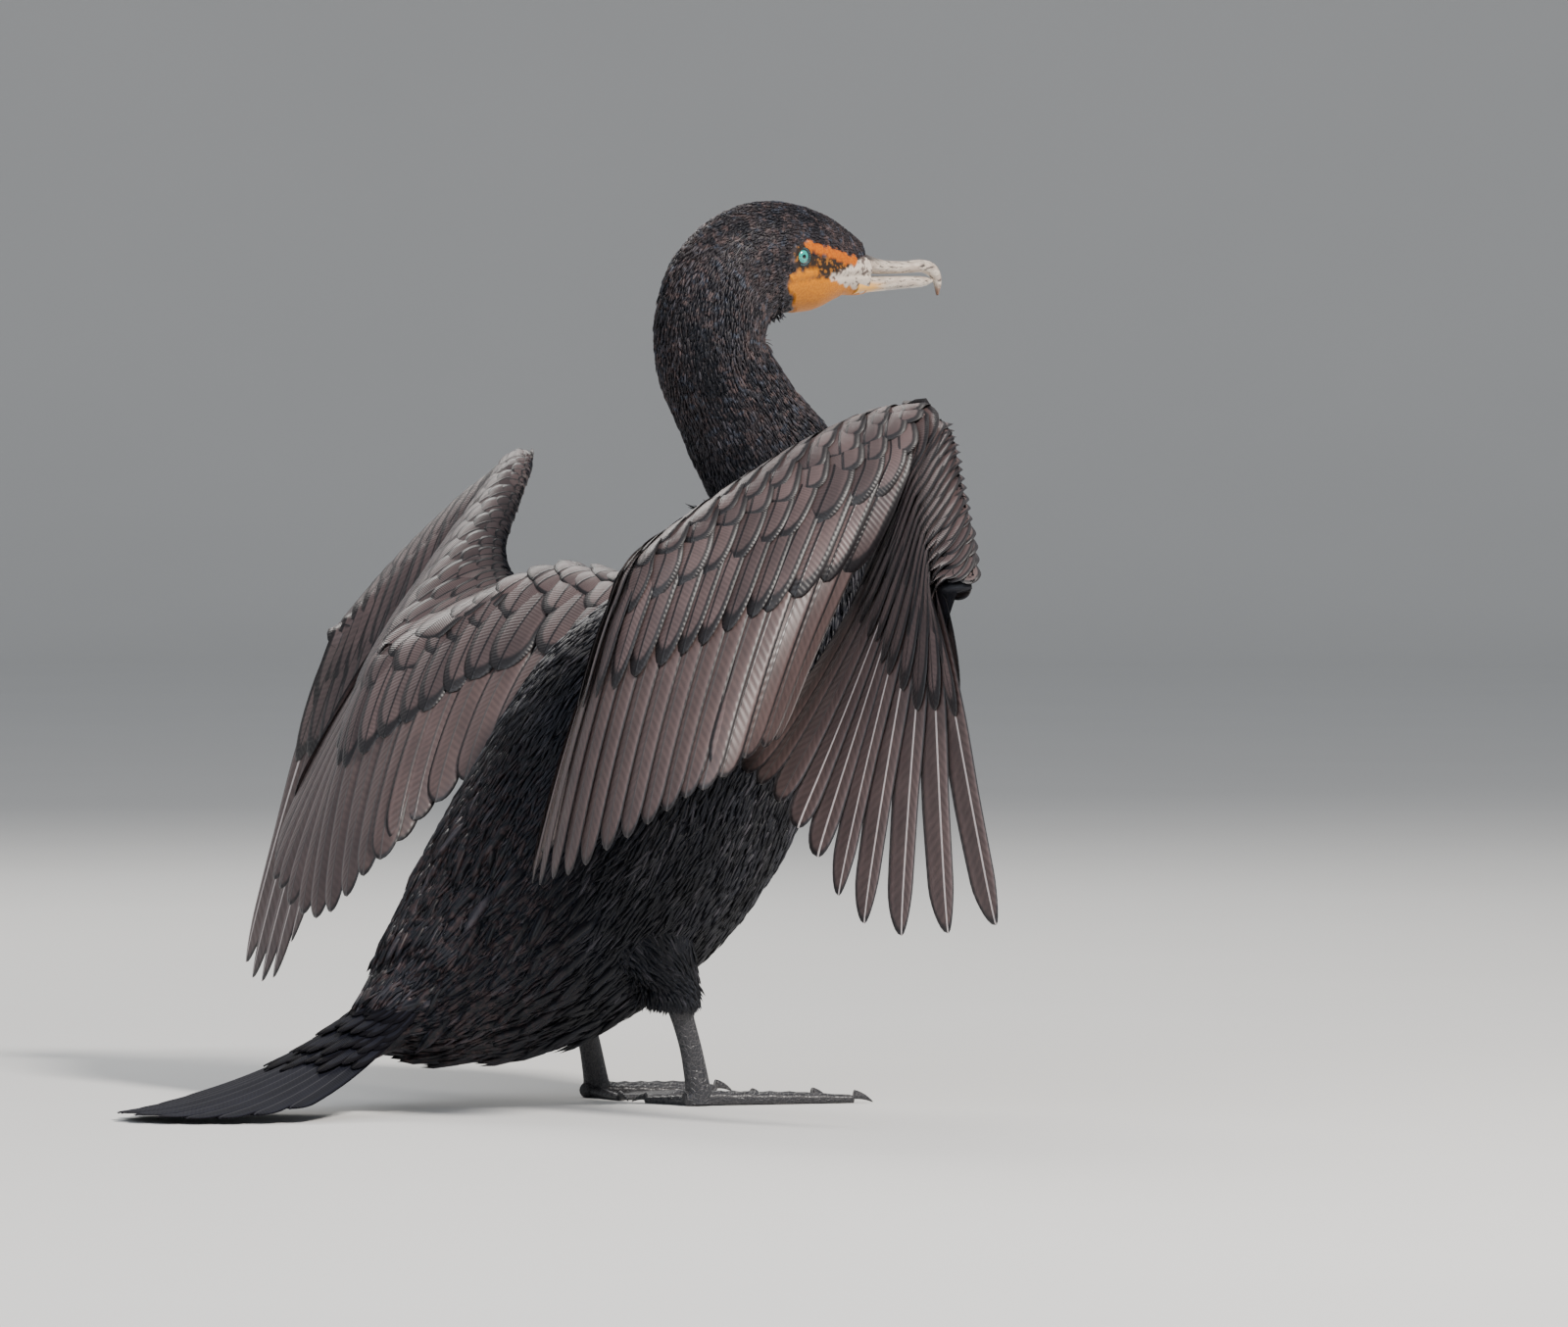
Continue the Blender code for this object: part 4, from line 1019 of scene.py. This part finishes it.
def makeLid(key):
    # a soft ring that leans on the eye, with pale beads
    side = sides[key]
    centre = np.array([eyePlace[0], side * eyePlace[1], eyePlace[2]])
    outAt = math.sqrt(eye["radius"] ** 2 - eye["lidRadius"] ** 2)
    corner = circle(10)
    rings, beads = [], []
    for turn in circle(48):
        outward = np.array([math.cos(turn), 0, math.sin(turn) * eye["lidTall"]])
        middle = centre + outward * eye["lidRadius"] + np.array([0, side * (outAt + 0.0001), 0])
        rings.append(middle + np.outer(np.cos(corner), outward * eye["lidThick"] * 1.5)
                     + np.outer(np.sin(corner), [0, side * eye["lidThick"], 0]))
    for turn in circle(eye["beads"]):
        outward = np.array([math.cos(turn), 0, math.sin(turn) * eye["lidTall"]])
        at = centre + outward * (eye["lidRadius"] + 0.0001) + np.array([0, side * (outAt + 0.00070), 0])
        points, faces = ballPoints(eye["beadSize"], 8, 5)
        beads.append((points + at, faces))
    ring = tube(rings + rings[:1], False)
    points, faces = joined([ring] + beads)
    tones = (np.arange(len(points)) >= len(ring[0])).astype(float)[:, None] * np.ones(4)
    lid = addPiece("eyeLid_" + key, points, faces, lidSurface, None, tones)
    turnOut(lid, 1e-7)


for key in sides:
    makeEye(key)
    makeLid(key)
print("bill and eyes done")

# Legs and feet

leg = {
    "rows": [  # forward, out, height, half length, half width
        (-0.030, 0.040, 0.108, 0.034, 0.018), (-0.020, 0.046, 0.086, 0.026, 0.017),
        (-0.008, 0.048, 0.070, 0.014, 0.012), (-0.003, 0.048, 0.060, 0.0095, 0.0080),
        (0.002, 0.048, 0.048, 0.0075, 0.0058), (0.008, 0.048, 0.030, 0.0070, 0.0055),
        (0.012, 0.048, 0.0120, 0.0075, 0.0065), (0.013, 0.048, 0.0060, 0.0082, 0.0072),
        (0.013, 0.048, 0.0008, 0.0085, 0.0075),
    ],
    "sunk": 0.0006, "thighFeathers": 3600, "thighTo": 3.4,
    "ankle": (0.010, 0.048), "claw": 0.011,
    "toes": {  # length, degrees out from straight ahead, thickness
        "inner": (0.056, -22.0, 0.0075), "middle": (0.078, -2.0, 0.0080),
        "outer": (0.088, 18.0, 0.0080), "hind": (0.036, -100.0, 0.0060),
    },
    "dark": ((0.012, 0.013, 0.017), (0.034, 0.034, 0.040)), "seam": (0.060, 0.058, 0.062),
}


def footMaterial():
    made, n, surface = newMaterial("footSkin", 0.42, 0.5, **{"Coat Weight": 0.12, "Coat Roughness": 0.3})
    where = n.where()
    cells = n.new("TexVoronoi", Scale=480.0, Vector=where)
    cells.feature = "DISTANCE_TO_EDGE"
    seams = n.step(cells.outputs["Distance"], 0.0, 0.16)
    colour = n.mix(n.noise(where, 120.0), *leg["dark"])
    n.put(surface.inputs["Base Color"], n.mix(seams, leg["seam"], colour))
    n.bump(surface, seams, 0.7, 0.0005)
    return made


footSkin = footMaterial()


def anklePoint(side):
    return np.array([leg["ankle"][0], side * leg["ankle"][1], 0.0])


def toePoints(side, length, turn, thick):
    angle = math.radians(turn)
    ahead = np.array([math.cos(angle), side * math.sin(angle), 0.0])
    wide = np.array([-ahead[1], ahead[0], 0.0])
    root = anklePoint(side)
    across, high = np.cos(circle(16)), np.sin(circle(16))
    rings = []
    for share in np.linspace(-0.06, 1.0, 34):
        size = thick * (1 - 0.42 * max(share, 0)) * (1 + 0.10 * math.cos(share * 3.1 * fullTurn) ** 4)
        size *= 1 - 0.12 * smooth(0.9, 1.0, share)
        centre = root + ahead * length * share + np.array([0, 0, size * 0.48])
        rings.append(centre + np.outer(across, wide * size * 0.56) + np.outer(np.maximum(high, -0.92), [0, 0, size * 0.50]))
    tip = thick * 0.5
    for share in np.linspace(0.05, 1.0, 12):
        size = tip * 0.62 * (1 - share) ** 0.7 + 0.0002
        drop = np.array([0, 0, tip * 0.9 * (1 - share * share) + 0.0004 + size * 0.2])
        centre = root + ahead * (length + leg["claw"] * share) + drop
        rings.append(centre + np.outer(across, wide * size * 0.8) + np.outer(high, [0, 0, size]))
    return tube(rings)


def webRays():
    # length, angle and place between two toes, right round the foot
    order = ["outer", "middle", "inner", "hind"]
    for first, second in zip(order, order[1:]):
        for share in np.linspace(0, 1, 15)[:-1]:
            length, degrees = (a * (1 - share) + b * share
                               for a, b in list(zip(leg["toes"][first], leg["toes"][second]))[:2])
            yield length * (0.97 - 0.17 * math.sin(math.pi * share)), math.radians(degrees), share
    yield leg["toes"]["hind"][0], math.radians(leg["toes"]["hind"][1]), 0.0


def webPoints(side):
    root = anklePoint(side)
    rows = []
    for length, angle, share in webRays():
        ray = []
        for t in np.linspace(0.02, 1, 12):
            rise = 0.0022 + 0.0016 * (1 - math.sin(math.pi * share)) - 0.0004 * t + 0.0005 * math.sin(share * 18) * t
            ray.append(root + np.array([math.cos(angle) * length * t, side * math.sin(angle) * length * t, rise]))
        rows.append(ray)
    top = np.array(rows)
    low = top.copy()
    low[..., 2] = 0.0003
    count, many = top.shape[:2]
    size = count * many
    faces = []
    for i in range(count - 1):
        for a in range(i * many, i * many + many - 1):
            faces.append((a, a + 1, a + many + 1, a + many))
            faces.append((size + a, size + a + many, size + a + many + 1, size + a + 1))
    loop = list(range(many)) + [i * many + many - 1 for i in range(1, count)]
    loop += [(count - 1) * many + j for j in range(many - 2, -1, -1)] + [i * many for i in range(count - 2, 0, -1)]
    for a, b in zip(loop, loop[1:] + loop[:1]):
        faces.append((a, b, size + b, size + a))
    return np.vstack([top.reshape(-1, 3), low.reshape(-1, 3)]), faces


def makeFoot(key):
    side = sides[key]
    toes = [toePoints(side, *row) for row in leg["toes"].values()]
    piece = addPiece("foot_%s_skin" % key, *joined([webPoints(side)] + toes), footSkin)
    turnOut(piece)
    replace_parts(piece, "foot_" + key)


def legPoint(place, angle, side, depth):
    row = curveRows(leg["rows"], place)
    long, wide = row[..., 3] - depth, row[..., 4] - depth
    return np.stack([row[..., 0] + long * np.cos(angle), side * (row[..., 1] + wide * np.sin(angle)), row[..., 2]], -1)


def makeLeg(key):
    side = sides[key]
    grid, turn = np.meshgrid(np.linspace(0, 8, 90), circle(36), indexing="ij")
    piece = addPiece("leg_%s_skin" % key, *tube(legPoint(grid, turn, side, leg["sunk"])), footSkin)
    turnOut(piece)
    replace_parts(piece, "leg_" + key)


def makeThigh(key):
    # thigh feathers run down to the heel and thin out there
    side = sides[key]
    count = leg["thighFeathers"]
    place = leg["thighTo"] * draw.random(count) ** 0.8
    angle = draw.uniform(0, fullTurn, count)
    root = legPoint(place, angle, side, 0.0008)
    down = unit(legPoint(np.minimum(place + 0.05, 8), angle, side, 0.0008) - root)
    normal = unit(np.stack([np.cos(angle) * 0.6, side * np.sin(angle), 0.15 + 0 * angle], -1))
    tones = bladeTones(count, 0.9, 0.6)
    size = 1 - 0.5 * smooth(2.2, leg["thighTo"], place)
    spots = np.stack([place / 8, angle / fullTurn], -1)
    blades("coatThigh_" + key, root, normal, down, draw.uniform(0.010, 0.018, count) * size, 0.0026 * size,
           draw.uniform(0.08, 0.25, count), spots, tones)


for key in sides:
    makeLeg(key)
    makeThigh(key)
    makeFoot(key)
print("legs done")

# Floor, light and camera

stage = {  # metres away from the camera's side, far enough to look from every side
    "half": 9.6, "front": -9.0, "backdrop": 9.0, "height": 5.0, "curve": 1.6,
    "away": (0.574, 0.819), "right": (0.819, -0.574), "colours": ((0.70, 0.70, 0.69), (0.73, 0.73, 0.72)),
}


def makeStage():
    # one sheet that is the floor and curves up into the backdrop, away from the camera
    made, n, surface = newMaterial("paleFloor", 0.85, 0.2)
    n.put(surface.inputs["Base Color"], n.mix(n.noise(n.where(), 3.0, 2.0), *stage["colours"]))
    away, right = np.array(stage["away"]), np.array(stage["right"])
    profile = [(stage["front"], 0.0), (stage["backdrop"], 0.0)]
    for t in np.linspace(0, math.pi / 2, 14)[1:]:
        profile.append((stage["backdrop"] + stage["curve"] * math.sin(t), stage["curve"] * (1 - math.cos(t))))
    profile.append((stage["backdrop"] + stage["curve"], stage["height"]))
    points = [(*(away * w + right * u), z) for w, z in profile for u in (-stage["half"], stage["half"])]
    faces = [(2 * i, 2 * i + 1, 2 * i + 3, 2 * i + 2) for i in range(len(profile) - 1)]
    mesh = bpy.data.meshes.new("floorSheet")
    mesh.from_pydata(points, [], faces)
    mesh.materials.append(made)
    mesh.polygons.foreach_set("use_smooth", [True] * len(faces))
    sheet = bpy.data.objects.new("floorSheet", mesh)
    bpy.context.scene.collection.objects.link(sheet)


makeStage()
aim = Vector((0.0682 + shift[0], -0.0477 + shift[1], 0.233))
lights = {  # place, size, power, colour
    "sunSide": ((0.5, -2.4, 2.6), 0.55, 175.0, (1.0, 0.94, 0.88)),
    "skyFill": ((-2.6, -1.6, 1.8), 2.4, 40.0, (0.86, 0.92, 1.0)),
    "rimLight": ((0.8, 2.4, 2.2), 1.4, 50.0, (1.0, 0.97, 0.92)),
}
for name, (place, size, power, colour) in lights.items():
    light = bpy.data.lights.new(name, "AREA")
    light.shape = "DISK"
    light.size = size
    light.energy = power
    light.color = colour
    holder = bpy.data.objects.new(name, light)
    bpy.context.scene.collection.objects.link(holder)
    holder.location = place
    holder.rotation_euler = (aim - Vector(place)).to_track_quat("-Z", "Y").to_euler()

world = bpy.data.worlds.new("studio")
world.use_nodes = True
world.node_tree.nodes["Background"].inputs[0].default_value = (0.82, 0.86, 0.92, 1)
world.node_tree.nodes["Background"].inputs[1].default_value = 0.40
bpy.context.scene.world = world

view = {"lens": 300.0, "sensor": 36.0, "frameWidth": 0.832, "azimuth": -35.0, "elevation": 1.5}  # millimetres, metres, degrees
camera = bpy.data.cameras.new("photoCamera")
camera.lens = view["lens"]
camera.sensor_width = view["sensor"]
camera.clip_end = 60.0
viewer = bpy.data.objects.new("photoCamera", camera)
bpy.context.scene.collection.objects.link(viewer)
turn, rise = math.radians(view["azimuth"]), math.radians(view["elevation"])
toCamera = Vector((math.sin(turn) * math.cos(rise), -math.cos(turn) * math.cos(rise), math.sin(rise)))
viewer.location = aim + toCamera * (view["frameWidth"] / view["sensor"] * view["lens"])
viewer.rotation_euler = (-toCamera).to_track_quat("-Z", "Y").to_euler()
bpy.context.scene.camera = viewer


bpy.context.view_layer.update()
